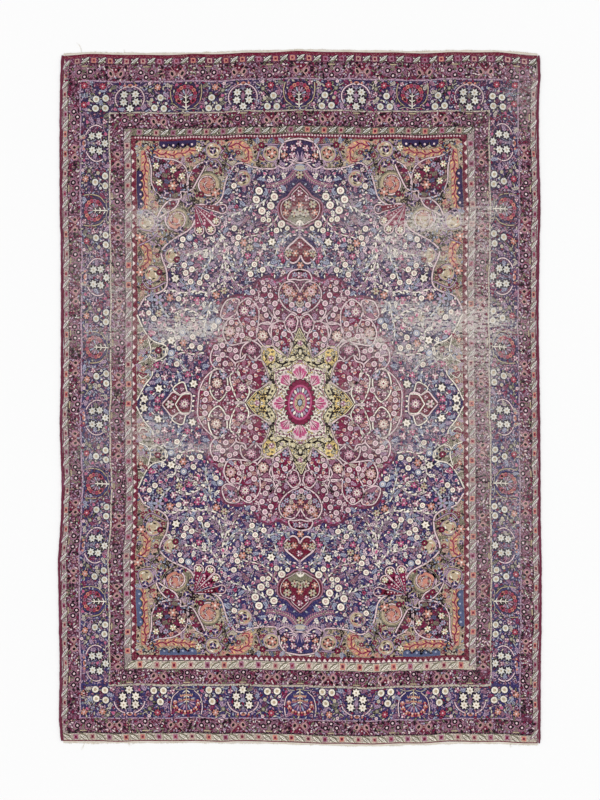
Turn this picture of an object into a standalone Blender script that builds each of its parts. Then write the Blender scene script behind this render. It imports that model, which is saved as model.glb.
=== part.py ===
"""Hand-knotted Persian carpet with a low, worn wool pile, lying flat on the floor.

The knotted body is one flat slab. An overcast wool cord is sewn along each side, and a narrow
cotton end web, with its frayed warp strands, runs along each end. The outline is as crooked as
on an old carpet. X runs across the carpet, +Y points to its head end, and the floor is z = 0.
"""
import math
import random
from collections import namedtuple

import bmesh
import bpy
from mathutils import Matrix, Vector

MM = 0.001

# Driving dimensions, in metres
CARPET_WIDTH = 2.70          # over both side cords
PILE_LENGTH = 3.87           # knotted pile, from the foot end to the head end
PILE_HEIGHT = 7.0 * MM       # foundation and worn pile together
CORD_WIDTH = 14.0 * MM       # overcast side cord
CORD_HEIGHT = 8.5 * MM
WEB_DEPTH = 9.0 * MM         # woven cotton web outside the pile
WEB_HEIGHT = 3.0 * MM
STRANDS_PER_END = 120
STRAND_SHARE = 0.42          # part of the strand pitch that one strand's root takes
STRAND_HEIGHT = 2.2 * MM
GAP = 0.3 * MM               # between touching pieces

# How finely the slab is divided
COLUMNS = 28
ROWS = 40
SHOULDER = 14.0 * MM         # width of the rounded edge of the pile
SHOULDER_DROP = 1.5 * MM
CORD_SIDES = 8
CORD_END_SCALE = 0.75        # a side cord is drawn in at its two ends
CORD_SHARP_DEG = 50          # only the rims of its end faces are sharper than this
SAME_POINT = 0.01 * MM

# Crooked sides: how far each side bulges outwards, at a distance from the foot end
SideRow = namedtuple("SideRow", "from_foot_m left_bulge_mm right_bulge_mm")
SIDE_ROWS = (
    SideRow(0.00, -3, -1),
    SideRow(0.10, 7, 0),
    SideRow(0.44, 3, 1),
    SideRow(0.70, 8, 6),
    SideRow(1.03, 13, 6),
    SideRow(1.22, -2, 1),
    SideRow(1.42, -8, 0),
    SideRow(1.81, 3, -2),
    SideRow(2.01, -3, -6),
    SideRow(2.40, -4, -11),
    SideRow(2.80, -3, -6),
    SideRow(3.00, 3, 0),
    SideRow(3.39, 4, -9),
    SideRow(3.58, 3, -10),
    SideRow(3.78, -1, 0),
    SideRow(3.87, -5, -3),
)

# Crooked ends: how far each end bulges outwards, at a distance from the left side
EndRow = namedtuple("EndRow", "from_left_m head_bulge_mm foot_bulge_mm")
END_ROWS = (
    EndRow(0.00, -12, -7),
    EndRow(0.12, -6, -5),
    EndRow(0.50, -9, -6),
    EndRow(0.80, -6, -6),
    EndRow(1.10, 5, -4),
    EndRow(1.39, 11, 4),
    EndRow(1.69, 6, 13),
    EndRow(1.98, 1, 6),
    EndRow(2.28, 6, -3),
    EndRow(2.50, 4, -2),
    EndRow(2.62, -4, 5),
    EndRow(2.70, -12, 7),
)

# Bands across the carpet where the pile is worn down, in soft troughs
WearRow = namedtuple("WearRow", "from_foot_m half_width_m depth_mm")
WEAR_ROWS = (
    WearRow(2.93, 0.24, 1.2),
    WearRow(2.33, 0.30, 1.8),
    WearRow(1.78, 0.22, 0.6),
)
WEAR_WANDER = 0.2            # how unevenly deep a trough is from side to side
WEAR_WAVES = 4.0             # radians in a metre

# Long loose warp threads, by the end they grow from
StrayRow = namedtuple("StrayRow", "end from_left_m length_m turn_deg")
STRAY_ROWS = (
    StrayRow("head", 0.10, 0.074, 55),
    StrayRow("head", 0.35, 0.026, 20),
    StrayRow("foot", 0.12, 0.048, -45),
    StrayRow("foot", 0.37, 0.030, 60),
    StrayRow("foot", 2.54, 0.030, 30),
    StrayRow("foot", 2.60, 0.024, -35),
)
STRAY_STEPS = 6
SHORT_STRANDS = {"steps": 2, "shortest_m": 5.0 * MM, "longest_m": 15.0 * MM, "lean_deg": 22}
STRAND_TIP_SCALE = 0.45
STRAND_SEED = 11

# Linear colour and roughness of each sub-part
PILE_WOOL = ((0.10, 0.05, 0.13), 0.9)
OVERCAST_WOOL = ((0.16, 0.02, 0.05), 0.85)
FOUNDATION_COTTON = ((0.75, 0.68, 0.54), 0.95)


def follow(rows, station, column):
    """Reads one named column of a table, eased smoothly between its rows."""
    for before, after in zip(rows, rows[1:]):
        if station <= after[0]:
            share = max(0.0, (station - before[0]) / (after[0] - before[0]))
            eased = share * share * (3 - 2 * share)
            start, end = getattr(before, column), getattr(after, column)
            return (start + (end - start) * eased) * MM
    return getattr(rows[-1], column) * MM


def mix(start, end, share):
    return start + (end - start) * share


def shares_across(count, edge_share):
    """Even stations from 0 to 1 with one extra station close to each end."""
    middle = [mix(edge_share, 1 - edge_share, n / (count - 2)) for n in range(count - 1)]
    return [0.0] + middle + [1.0]


def side_edges():
    """Left and right edge of the knotted body at each of its rows."""
    half_body = CARPET_WIDTH / 2 - CORD_WIDTH - GAP
    lefts, rights = [], []
    for share in ROW_SHARES:
        station = share * PILE_LENGTH
        lefts.append(-half_body - follow(SIDE_ROWS, station, "left_bulge_mm"))
        rights.append(half_body + follow(SIDE_ROWS, station, "right_bulge_mm"))
    return lefts, rights


def end_edges():
    """Foot and head edge of the knotted body at each of its columns."""
    feet, heads = [], []
    for share in COLUMN_SHARES:
        station = share * CARPET_WIDTH
        feet.append(-PILE_LENGTH / 2 - follow(END_ROWS, station, "foot_bulge_mm"))
        heads.append(PILE_LENGTH / 2 + follow(END_ROWS, station, "head_bulge_mm"))
    return feet, heads


COLUMN_SHARES = shares_across(COLUMNS, SHOULDER / CARPET_WIDTH)
ROW_SHARES = shares_across(ROWS, SHOULDER / PILE_LENGTH)
LEFT_EDGE, RIGHT_EDGE = side_edges()
FOOT_EDGE, HEAD_EDGE = end_edges()


def body_point(column, row):
    """Plan position of one grid point of the knotted body."""
    across, along = COLUMN_SHARES[column], ROW_SHARES[row]
    x = mix(LEFT_EDGE[row], RIGHT_EDGE[row], across)
    y = mix(FOOT_EDGE[column], HEAD_EDGE[column], along)
    return x, y


def pile_top(column, row):
    """Height of the worn pile at one grid point, lower at its rim and in the worn troughs."""
    x, y = body_point(column, row)
    station = y + PILE_LENGTH / 2
    height = PILE_HEIGHT
    for band in WEAR_ROWS:
        distance = min(1.0, abs(station - band.from_foot_m) / band.half_width_m)
        trough = (1 + math.cos(math.pi * distance)) / 2
        height -= band.depth_mm * MM * trough * (1 + WEAR_WANDER * math.sin(WEAR_WAVES * x))
    if column in (0, COLUMNS) or row in (0, ROWS):
        height -= SHOULDER_DROP
    return height


def cloth(name, colour, roughness):
    """A plain cloth material for one sub-part."""
    material = bpy.data.materials.new(name)
    material.use_nodes = True
    shader = material.node_tree.nodes["Principled BSDF"]
    shader.inputs["Base Color"].default_value = (*colour, 1)
    shader.inputs["Roughness"].default_value = roughness
    shader.inputs["Metallic"].default_value = 0.0
    material.diffuse_color = (*colour, 1)
    return material


def finish(bm, name, material, carpet):
    """Turns a bmesh into a named object that hangs from the carpet's empty."""
    bmesh.ops.recalc_face_normals(bm, faces=bm.faces[:])
    mesh = bpy.data.meshes.new(name)
    bm.to_mesh(mesh)
    bm.free()
    mesh.materials.append(material)
    piece = bpy.data.objects.new(name, mesh)
    bpy.context.collection.objects.link(piece)
    piece.parent = carpet
    return piece


def knot_body(carpet):
    """The knotted body: a grid laid to the crooked outline, with walls down to a flat back."""
    bm = bmesh.new()
    bmesh.ops.create_grid(bm, x_segments=COLUMNS, y_segments=ROWS, size=0.5)
    for vert in bm.verts:
        column = round((vert.co.x + 0.5) * COLUMNS)
        row = round((vert.co.y + 0.5) * ROWS)
        x, y = body_point(column, row)
        vert.co = Vector((x, y, pile_top(column, row)))
    rim = [edge for edge in bm.edges if edge.is_boundary]
    walls = bmesh.ops.extrude_edge_only(bm, edges=rim)["geom"]
    for vert in (part for part in walls if isinstance(part, bmesh.types.BMVert)):
        vert.co.z = 0.0
    back_rim = [edge for edge in bm.edges if edge.is_boundary]
    bmesh.ops.contextual_create(bm, geom=back_rim)
    return finish(bm, "pile_body", cloth("pile_wool", *PILE_WOOL), carpet)


def cord_section(bm, centre_x, y, scale):
    """A flattened ring of the side cord, standing on the floor across the carpet's side."""
    turn = Matrix.Rotation(math.radians(90), 4, "X")
    quarter = Matrix.Rotation(math.pi / CORD_SIDES, 4, "Z")
    ring = bmesh.ops.create_circle(bm, cap_ends=True, segments=CORD_SIDES, radius=0.5,
                                   matrix=turn @ quarter)["verts"]
    flat_to_flat = math.cos(math.pi / CORD_SIDES)
    for vert in ring:
        vert.co.x = centre_x + vert.co.x / flat_to_flat * CORD_WIDTH * scale
        vert.co.z = (vert.co.z / flat_to_flat + 0.5) * CORD_HEIGHT * scale
        vert.co.y = y
    return ring


def overcast_cord(name, side, carpet, material):
    """A side cord: one ring at the foot end, extruded from row to row up to the head end."""
    column = 0 if side < 0 else COLUMNS
    stations = []
    for row in range(ROWS + 1):
        x, y = body_point(column, row)
        stations.append((x + side * (GAP + CORD_WIDTH / 2), y))
    bm = bmesh.new()
    first_x, first_y = stations[0]
    cord_section(bm, first_x, first_y, CORD_END_SCALE)
    bm.faces.ensure_lookup_table()
    cap = bm.faces[0]
    closing = bmesh.ops.duplicate(bm, geom=[cap])["geom"]
    tail = next(part for part in closing if isinstance(part, bmesh.types.BMFace))
    bmesh.ops.reverse_faces(bm, faces=[tail])
    previous = (first_x, first_y, CORD_END_SCALE)
    for row, (x, y) in enumerate(stations[1:], start=1):
        scale = CORD_END_SCALE if row == ROWS else 1.0
        cap = bmesh.ops.extrude_discrete_faces(bm, faces=[cap])["faces"][0]
        for vert in cap.verts:
            growth = scale / previous[2]
            vert.co.x = x + (vert.co.x - previous[0]) * growth
            vert.co.y = y
            vert.co.z *= growth
        previous = (x, y, scale)
    bmesh.ops.remove_doubles(bm, verts=bm.verts[:], dist=SAME_POINT)
    piece = finish(bm, name, material, carpet)
    piece.data.shade_smooth()
    piece.data.set_sharp_from_angle(angle=math.radians(CORD_SHARP_DEG))
    return piece


def draw_strand(bm, root, heading, length, turn, steps):
    """Pulls one warp strand out of a face of the web and lays it level on the floor."""
    face = root
    angle = heading
    taper = STRAND_TIP_SCALE ** (1 / steps)
    height = STRAND_HEIGHT
    for _ in range(steps):
        face = bmesh.ops.extrude_discrete_faces(bm, faces=[face])["faces"][0]
        forward = Vector((math.cos(angle), math.sin(angle), 0)) * (length / steps)
        bmesh.ops.translate(bm, verts=face.verts, vec=forward)
        centre = face.calc_center_median()
        swing = Matrix.Rotation(turn / steps, 3, "Z")
        bmesh.ops.rotate(bm, verts=face.verts, cent=centre, matrix=swing)
        for vert in face.verts:
            vert.co.x = centre.x + (vert.co.x - centre.x) * taper
            vert.co.y = centre.y + (vert.co.y - centre.y) * taper
            vert.co.z = height if vert.co.z > 0 else 0.0
        angle += turn / steps
        height *= taper


def web_column_share(column):
    """Share across the web of one of its columns, which bound gaps and strand roots in turn."""
    pitch = 1.0 / STRANDS_PER_END
    strand, edge = divmod(column, 2)
    if column == 0:
        return 0.0
    if column == 2 * STRANDS_PER_END + 1:
        return 1.0
    if edge == 1:
        return pitch * (strand + 0.5 - STRAND_SHARE / 2)
    return pitch * (strand - 0.5 + STRAND_SHARE / 2)


def end_web(name, end, outward, carpet, material):
    """An end web: a thin woven strip along one end of the pile, frayed into warp strands."""
    samples = HEAD_EDGE if outward > 0 else FOOT_EDGE
    row = ROWS if outward > 0 else 0
    left, right = LEFT_EDGE[row], RIGHT_EDGE[row]
    web_columns = 2 * STRANDS_PER_END + 1

    def edge_at(share):
        for column, (low, high) in enumerate(zip(COLUMN_SHARES, COLUMN_SHARES[1:])):
            if share <= high:
                return mix(samples[column], samples[column + 1], (share - low) / (high - low))
        return samples[-1]

    bm = bmesh.new()
    bmesh.ops.create_grid(bm, x_segments=web_columns, y_segments=1, size=0.5)
    for vert in bm.verts:
        share = web_column_share(round((vert.co.x + 0.5) * web_columns))
        reach = GAP if vert.co.y < 0 else GAP + WEB_DEPTH
        vert.co = Vector((mix(left, right, share), edge_at(share) + outward * reach, 0.0))
    raised = bmesh.ops.extrude_face_region(bm, geom=bm.faces[:])["geom"]
    for vert in (part for part in raised if isinstance(part, bmesh.types.BMVert)):
        vert.co.z = WEB_HEIGHT
    bmesh.ops.recalc_face_normals(bm, faces=bm.faces[:])

    outer = [face for face in bm.faces if face.normal.y * outward > 0.5]
    outer.sort(key=lambda face: face.calc_center_median().x)
    draw = random.Random(f"{STRAND_SEED} {end}")
    strays = {}
    for stray in (row for row in STRAY_ROWS if row.end == end):
        strays[int(stray.from_left_m / CARPET_WIDTH * STRANDS_PER_END)] = stray
    for index, root in enumerate(outer[1::2]):
        lean = math.radians(draw.uniform(-1, 1) * SHORT_STRANDS["lean_deg"])
        length = draw.uniform(SHORT_STRANDS["shortest_m"], SHORT_STRANDS["longest_m"])
        heading = outward * math.pi / 2
        turn = lean
        steps = SHORT_STRANDS["steps"]
        if index in strays:
            length = strays[index].length_m
            turn = math.radians(strays[index].turn_deg)
            steps = STRAY_STEPS
        draw_strand(bm, root, heading, length, turn, steps)
    return finish(bm, name, material, carpet)


def stand_on_centre(carpet):
    """Moves the carpet so that the middle of its outline lies on the origin."""
    bpy.context.view_layer.update()
    corners = [piece.matrix_world @ vert.co for piece in carpet.children
               for vert in piece.data.vertices]
    low_x, high_x = min(p.x for p in corners), max(p.x for p in corners)
    low_y, high_y = min(p.y for p in corners), max(p.y for p in corners)
    carpet.location = (-(low_x + high_x) / 2, -(low_y + high_y) / 2, 0)


def main():
    for leftover in list(bpy.data.objects):
        bpy.data.objects.remove(leftover, do_unlink=True)
    carpet = bpy.data.objects.new("carpet", None)
    bpy.context.collection.objects.link(carpet)
    overcast_wool = cloth("overcast_wool", *OVERCAST_WOOL)
    cotton = cloth("foundation_cotton", *FOUNDATION_COTTON)
    knot_body(carpet)
    overcast_cord("side_cord_left", -1, carpet, overcast_wool)
    overcast_cord("side_cord_right", 1, carpet, overcast_wool)
    end_web("end_web_head", "head", 1, carpet, cotton)
    end_web("end_web_foot", "foot", -1, carpet, cotton)
    stand_on_centre(carpet)


main()
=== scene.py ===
"""Looks of an old hand-knotted medallion carpet with a dense floral design.

The pile is one sheet of indigo wool on the carpet's crooked outline. Its design is drawn on a
cartoon, counted in squares from the carpet's middle, as a weaver would chart it. Every shape of
one dye is woven into one piece, and lies a hair above what it covers.
"""
import math
import random
from cmath import phase, rect
from collections import namedtuple

import bpy
import numpy as np
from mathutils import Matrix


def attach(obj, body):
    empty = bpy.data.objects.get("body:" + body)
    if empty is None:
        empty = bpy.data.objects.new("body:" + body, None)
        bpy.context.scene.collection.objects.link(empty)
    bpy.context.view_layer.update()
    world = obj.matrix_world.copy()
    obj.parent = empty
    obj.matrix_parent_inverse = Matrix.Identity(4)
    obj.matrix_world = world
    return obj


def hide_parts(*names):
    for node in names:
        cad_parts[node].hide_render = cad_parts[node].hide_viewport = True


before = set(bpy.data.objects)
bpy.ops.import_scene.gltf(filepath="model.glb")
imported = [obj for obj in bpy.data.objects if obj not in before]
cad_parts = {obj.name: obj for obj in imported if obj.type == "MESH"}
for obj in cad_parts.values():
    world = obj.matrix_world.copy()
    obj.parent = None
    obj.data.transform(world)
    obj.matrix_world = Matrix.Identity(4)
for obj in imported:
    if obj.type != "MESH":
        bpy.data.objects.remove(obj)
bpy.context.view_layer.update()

bl_info = {
    "name": "Medallion Carpet",
    "version": (1, 0, 0),
    "blender": (4, 5, 0),
    "location": "3D View > Sidebar > Carpet",
    "description": "Weaves the looks of an old hand-knotted medallion carpet on its slab",
    "category": "Object",
}

MM = 0.001

# ------------------------------------------------------------------ cartoon sizes, in squares
SQUARE = 5.62 * MM          # one square of the cartoon
HALF_WIDTH = 237.5          # of the knotted body
HALF_LENGTH = 344.3
CARPET_WIDTH = 2.7          # in metres, over both side cords
FIELD_HALF_WIDTH = 163.0
FIELD_HALF_LENGTH = 258.0
MIDDLE_SINKS = 6.0          # how far the middle of the field sits below the carpet's middle

# What lies over what. One level is one hair's height.
GROUND, PANEL, INSET, SHADE, STEM, LEAF, BACKING, PETAL, HEART, DOT = range(1, 11)
LEVEL_STEP = 0.15 * MM
PILE_ALLOWANCE = 1.4 * MM   # the sheet lies this much lower, so that the design fits on it

# Bands of the border from the outside in; widths in squares at head, side and foot
Band = namedtuple("Band", "name dye head side foot")
BANDS = (
    Band("rim", "wine", 1.0, 1.0, 1.0),
    Band("end_stripe", "wine", 2.3, 0.0, 0.0),
    Band("outer_guard", "stone", 6.4, 4.4, 6.8),
    Band("dark_line", "night", 0.8, 0.8, 1.4),
    Band("outer_small", "plum", 15.6, 11.4, 13.4),
    Band("rose_line", "lilac", 1.6, 1.5, 1.2),
    Band("main", "indigo", 30.0, 27.7, 31.4),
    Band("pale_line", "sand", 1.5, 1.6, 2.2),
    Band("inner_small", "plum", 14.3, 13.3, 14.2),
    Band("dark_line", "night", 1.0, 0.8, 0.9),
    Band("inner_guard", "stone", 6.8, 6.5, 8.0),
    Band("dark_line", "night", 0.9, 0.8, 0.9),
    Band("teeth", "wine", 2.3, 2.7, 2.8),
    Band("inner_stripe", "wine", 2.0, 2.0, 2.2),
)

# The ground of the guards at foot, right, head and left
GUARD_DYES = {"outer_guard": ("sand", "stone", "plum", "stone"),
              "inner_guard": ("sand", "stone", "olive", "stone")}

# Troughs of worn pile across the carpet, as in the slab
Trough = namedtuple("Trough", "from_foot_m half_width_m depth_mm")
TROUGHS = (
    Trough(2.93, 0.24, 1.2),
    Trough(2.33, 0.30, 1.8),
    Trough(1.78, 0.22, 0.6),
)

# Where the pale foundation shows through the pile; place and reach in squares
WornPatch = namedtuple("WornPatch", "x y reach_x reach_y strength")
WORN_PATCHES = [WornPatch(*row) for row in (
    (130, 176, 62, 15, 0.80), (95, 160, 30, 12, 0.50), (-145, 180, 36, 19, 0.58),
    (-68, 180, 26, 12, 0.30), (56, 179, 24, 11, 0.22), (-97, 143, 42, 12, 0.36), (112, 142, 60, 12, 0.50),
    (122, 46, 52, 11, 0.48), (-82, -50, 48, 9, 0.32), (95, -50, 50, 9, 0.36), (-125, -50, 36, 11, 0.36),
    (-35, 152, 60, 12, 0.20), (60, 196, 40, 12, 0.20), (-118, 70, 48, 17, 0.74), (-90, 68, 35, 13, 0.36),
    (64, 58, 40, 12, 0.62), (140, 76, 55, 16, 0.72), (100, 92, 60, 9, 0.55), (-100, 92, 60, 8, 0.30),
    (-150, -35, 28, 22, 0.50), (-90, -22, 60, 16, 0.28), (120, -30, 60, 14, 0.30), (60, 10, 50, 10, 0.16),
    (225, 300, 24, 40, 0.30), (-215, 120, 26, 60, 0.20), (-200, 60, 40, 16, 0.25),
    (205, 70, 40, 14, 0.30), (0, 110, 300, 130, 0.10), (194, 190, 24, 10, 0.42), (182, 150, 16, 8, 0.42),
    (192, 75, 26, 28, 0.40), (145, 36, 72, 17, 0.30), (216, -98, 20, 105, 0.30), (86, -42, 14, 9, 0.30),
    (-182, 104, 11, 46, 0.32), (-216, -54, 24, 28, 0.22), (183, 20, 27, 250, 0.34),
    (105, 0, 52, 50, 0.16), (-192, 20, 34, 220, 0.12), (0, 182, 20, 26, 0.40),
)]

# ------------------------------------------------------------------ dyes


def linear(red, green, blue):
    """A colour given as 0 to 255 on a screen, as the light values that shaders use."""
    parts = (red / 255, green / 255, blue / 255)
    return (*(p / 12.92 if p <= 0.04045 else ((p + 0.055) / 1.055) ** 2.4 for p in parts), 1)


DYES = {
    "indigo": linear(50, 39, 76),
    "night": linear(27, 15, 24),
    "wine": linear(104, 25, 48),
    "maroon": linear(122, 32, 66),
    "plum": linear(100, 46, 70),
    "mauve": linear(138, 96, 116),
    "rose": linear(158, 108, 128),
    "blush": linear(218, 192, 196),
    "magenta": linear(184, 84, 126),
    "crimson": linear(158, 64, 84),
    "coral": linear(192, 126, 110),
    "clay": linear(184, 146, 138),
    "gold": linear(180, 162, 134),
    "saffron": linear(220, 190, 122),
    "sand": linear(184, 174, 160),
    "ivory": linear(230, 221, 208),
    "pearl": linear(208, 205, 198),
    "straw": linear(208, 196, 160),
    "stone": linear(158, 143, 142),
    "olive": linear(118, 114, 94),
    "slate": linear(78, 88, 120),
    "sky": linear(154, 158, 178),
    "lilac": linear(168, 140, 162),
}
DEEP_BLUE = linear(50, 46, 94)     # the indigo of the foot half
FOUNDATION = linear(214, 207, 200)

BASE_WEAR = 0.015                   # share of bare knots where the pile is whole

# Dyes of the small woven marks that break up a ground
MARKS = {
    "indigo": ("night", "mauve", "plum", "night", "lilac", "sky"),
    "plum": ("night", "mauve", "rose", "night", "lilac", "wine"),
    "mauve": ("plum", "night", "blush", "maroon", "lilac", "plum"),
    "rose": ("maroon", "night", "blush", "plum", "lilac", "maroon"),
    "maroon": ("night", "wine", "rose", "wine", "plum", "night"),
    "gold": ("olive", "sky", "night", "sand", "clay", "maroon"),
    "sand": ("olive", "clay", "night", "ivory", "gold", "rose"),
    "saffron": ("olive", "gold", "night", "sand", "saffron", "gold"),
    "coral": ("clay", "gold", "maroon", "clay", "sand", "clay"),
    "ivory": ("blush", "sand", "straw", "clay", "olive", "rose"),
    "straw": ("sand", "ivory", "saffron", "olive", "gold", "sand"),
    "stone": ("sand", "night", "ivory", "olive", "rose", "night"),
}
ANY_MARKS = ("night", "sand", "rose")
# How strongly the marks show; most dyes use the usual share
MARK_SHARES = {"indigo": 0.22, "wine": 0.2, "maroon": 0.4, "straw": 0.4}
USUAL_MARK_SHARE = 0.6

# ------------------------------------------------------------------ how the carpet lies


class Lie:
    """The crooked outline and the worn height of the carpet, read from its slab."""

    def __init__(self, slab):
        points = np.array([v.co for v in slab.data.vertices], float)
        self.low, self.high = points.min(0), points.max(0)
        centre = (self.low + self.high) / 2
        half = (self.high - self.low) / 2
        rim = np.unique(points[points[:, 2] < 0.1 * MM][:, :2].round(6), axis=0)
        share = (rim - centre[:2]) / half[:2]
        on_side = abs(share[:, 0]) > abs(share[:, 1])
        corner = {(sx, sy): rim[np.argmax(share @ (sx, sy))] for sx in (-1, 1) for sy in (-1, 1)}
        self.edges = {}
        for name, sign, axis in (("left", -1, 0), ("right", 1, 0), ("foot", -1, 1), ("head", 1, 1)):
            chosen = rim[(on_side == (axis == 0)) & (share[:, axis] * sign > 0)]
            if axis == 0:
                ends = [corner[sign, -1], corner[sign, 1]]
            else:
                ends = [corner[-1, sign], corner[1, sign]]
            line = np.unique(np.vstack([chosen, ends]), axis=0)
            line = line[np.argsort(line[:, 1 - axis])]
            start, end = line[0, 1 - axis], line[-1, 1 - axis]
            self.edges[name] = ((line[:, 1 - axis] - start) / (end - start), line[:, axis])
        self.top = self.high[2] - PILE_ALLOWANCE
        self.middle = centre
        self.foot_y = float(self.edges["foot"][1].mean())

    def edge(self, name, share):
        return np.interp(share, *self.edges[name])

    def plan(self, chart):
        """Floor position, in metres, of points of the cartoon given as complex numbers."""
        sink = np.clip(1 - abs(chart.imag) / FIELD_HALF_LENGTH, 0, 1) * MIDDLE_SINKS
        x, y = chart.real, chart.imag - sink
        x = x + 0.35 * np.sin(y / 7.3 + 0.8) + 0.25 * np.sin((x + y) / 17)
        y = y + 0.35 * np.sin(x / 8.1 + 2.1) + 0.25 * np.sin((x - y) / 15)
        u = (x + HALF_WIDTH) / (2 * HALF_WIDTH)
        v = (y + HALF_LENGTH) / (2 * HALF_LENGTH)
        across = (1 - u) * self.edge("left", v) + u * self.edge("right", v)
        along = (1 - v) * self.edge("foot", u) + v * self.edge("head", u)
        return across, along

    def height(self, x, y):
        """Top of the pile sheet, lower in the worn troughs."""
        sag = 0.0
        for trough in TROUGHS:
            distance = np.clip(abs(y - self.foot_y - trough.from_foot_m) / trough.half_width_m, 0, 1)
            sag = sag + trough.depth_mm * MM * (1 + np.cos(np.pi * distance)) / 2
        return self.top - sag * (1 + 0.2 * np.sin(4 * x))

    def wear(self, x, y):
        """How worn the pile is, from 0 to 1."""
        chart_x, chart_y = (x - self.middle[0]) / SQUARE, (y - self.middle[1]) / SQUARE
        worn = np.zeros_like(chart_x)
        for patch in WORN_PATCHES:
            reach = ((chart_x - patch.x) / patch.reach_x) ** 2 + ((chart_y - patch.y) / patch.reach_y) ** 2
            worn = 1 - (1 - worn) * (1 - patch.strength * np.exp(-reach * 1.6))
        return worn


def drift_noise(x, y, seed):
    """Smooth noise from 0 to 1 on a lattice of unit cells."""
    lattice = np.random.default_rng(seed).random((256, 256))
    column, row = np.floor(x).astype(int), np.floor(y).astype(int)
    fx, fy = x - column, y - row
    fx, fy = fx * fx * (3 - 2 * fx), fy * fy * (3 - 2 * fy)
    near, far = lattice[column % 256, row % 256], lattice[(column + 1) % 256, row % 256]
    near_up, far_up = lattice[column % 256, (row + 1) % 256], lattice[(column + 1) % 256, (row + 1) % 256]
    return (near * (1 - fx) + far * fx) * (1 - fy) + (near_up * (1 - fx) + far_up * fx) * fy


# ------------------------------------------------------------------ the cartoon

ONCE = ((1, 1),)
QUARTERS = ((1, 1), (-1, 1), (1, -1), (-1, -1))


def oval(width, height=None, count=10):
    angles = 2 * np.pi * np.arange(count) / count
    return width / 2 * np.cos(angles) + 1j * (height or width) / 2 * np.sin(angles)


DISCS = {count: oval(2, count=count) for count in (4, 6, 8, 10, 14, 20)}


class Cartoon:
    """Shapes of the design, sorted by dye. Points are complex numbers in squares."""

    def __init__(self):
        self.chunks = {dye: [] for dye in DYES}
        self.origin, self.along, self.depth_scale = 0j, 1 + 0j, 1.0
        self.mirrors = ONCE
        self.garden = None

    def stand_at(self, origin=0j, along=1 + 0j, depth_scale=1.0):
        """Draws from here on in a local frame, such as one side of the border."""
        self.origin, self.along, self.depth_scale = origin, along, depth_scale

    def add(self, dye, level, points, faces):
        points = (points.real + 1j * points.imag * self.depth_scale) * self.along + self.origin
        for mirror_x, mirror_y in self.mirrors:
            copy = points.real * mirror_x + 1j * points.imag * mirror_y
            flipped = mirror_x * mirror_y * self.depth_scale < 0
            loops = [face[::-1] for face in faces] if flipped else faces
            self.chunks[dye].append((level, copy, loops))

    def mirror_from(self, at):
        """Mirrors what follows into the other quarters, but a motif on an axis never onto itself."""
        self.mirrors = tuple((x, y) for x, y in QUARTERS
                             if (x > 0 or abs(at.real) > 0.6) and (y > 0 or abs(at.imag) > 0.6))

    def lay(self, dye, level, shape, at=0j, turn=0.0, size=1.0):
        """Lays one flat shape."""
        points = np.asarray(shape) * rect(size, turn) + at
        self.add(dye, level, points, [tuple(range(len(points)))])

    def disc(self, dye, level, at, radius, corners=8):
        self.lay(dye, level, DISCS[corners], at, 0.3, radius)

    def discs(self, at, *rings):
        """Discs round one middle, each given by its dye, level, radius and number of corners."""
        for dye, level, radius, corners in rings:
            self.disc(dye, level, at, radius, corners)

    def wreath(self, dyes, level, shape, at, count, start=0.0):
        """Lays a shape over and over round a middle, in dyes by turns."""
        for n in range(count):
            self.lay(dyes[n % len(dyes)], level, shape, at, start + 2 * np.pi * n / count)

    def stroke(self, dye, level, path, width, taper=1.0):
        """Lays a ribbon along a path."""
        path = np.asarray(path)
        along = np.gradient(path)
        along = along / np.maximum(abs(along), 1e-9)
        half = width / 2 * np.linspace(1, taper, len(path))
        points = np.concatenate([path - 1j * along * half, path + 1j * along * half])
        count = len(path)
        faces = [(k, k + 1, count + k + 1, count + k) for k in range(count - 1)]
        self.add(dye, level, points, faces)

    def line(self, dye, path, width, casing=0.9, taper=1.0):
        """A ribbon with a dark casing, whose place is then taken."""
        self.stroke("night", SHADE, path, width + casing)
        self.stroke(dye, STEM, path, width, taper)
        for station in path:
            self.claim(station, width / 2 + 0.5)

    def claim(self, at, radius):
        if self.garden is not None:
            self.garden.claim(at, radius)


def pointed(length, width):
    """A leaf: pointed at both ends, growing from the origin along +x."""
    across = np.array([0, -0.5, -0.36, 0, 0.36, 0.5]) * width
    along = np.array([0, 0.42, 0.78, 1, 0.78, 0.42]) * length
    return along + 1j * across


def rounded(length, width):
    """A petal: narrow at the origin and round at its far end."""
    across = np.array([-0.12, -0.45, -0.36, 0.36, 0.45, 0.12]) * width
    along = np.array([0.05, 0.55, 0.94, 0.94, 0.55, 0.05]) * length
    return along + 1j * across


def teardrop(length, width, count=12):
    """A drop with its tip at the origin and its round end along +x."""
    swing = np.linspace(-2.2, 2.2, count)
    radius = width / 2
    head = length - radius + radius * np.cos(swing) + 1j * radius * np.sin(swing)
    return np.concatenate([[0j], head])


def spiked(points):
    """A star with the given number of points, 1 from its middle to a tip."""
    reach = np.where(np.arange(2 * points) % 2, 0.6, 1.0)
    return reach * np.exp(1j * np.pi * np.arange(2 * points) / points)


def slanted(width, depth, lean):
    """An upright bar that leans over by the given amount."""
    return np.array([-width / 2 - lean, width / 2 - lean, width / 2 + lean + 1j * depth,
                     -width / 2 + lean + 1j * depth])


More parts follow.
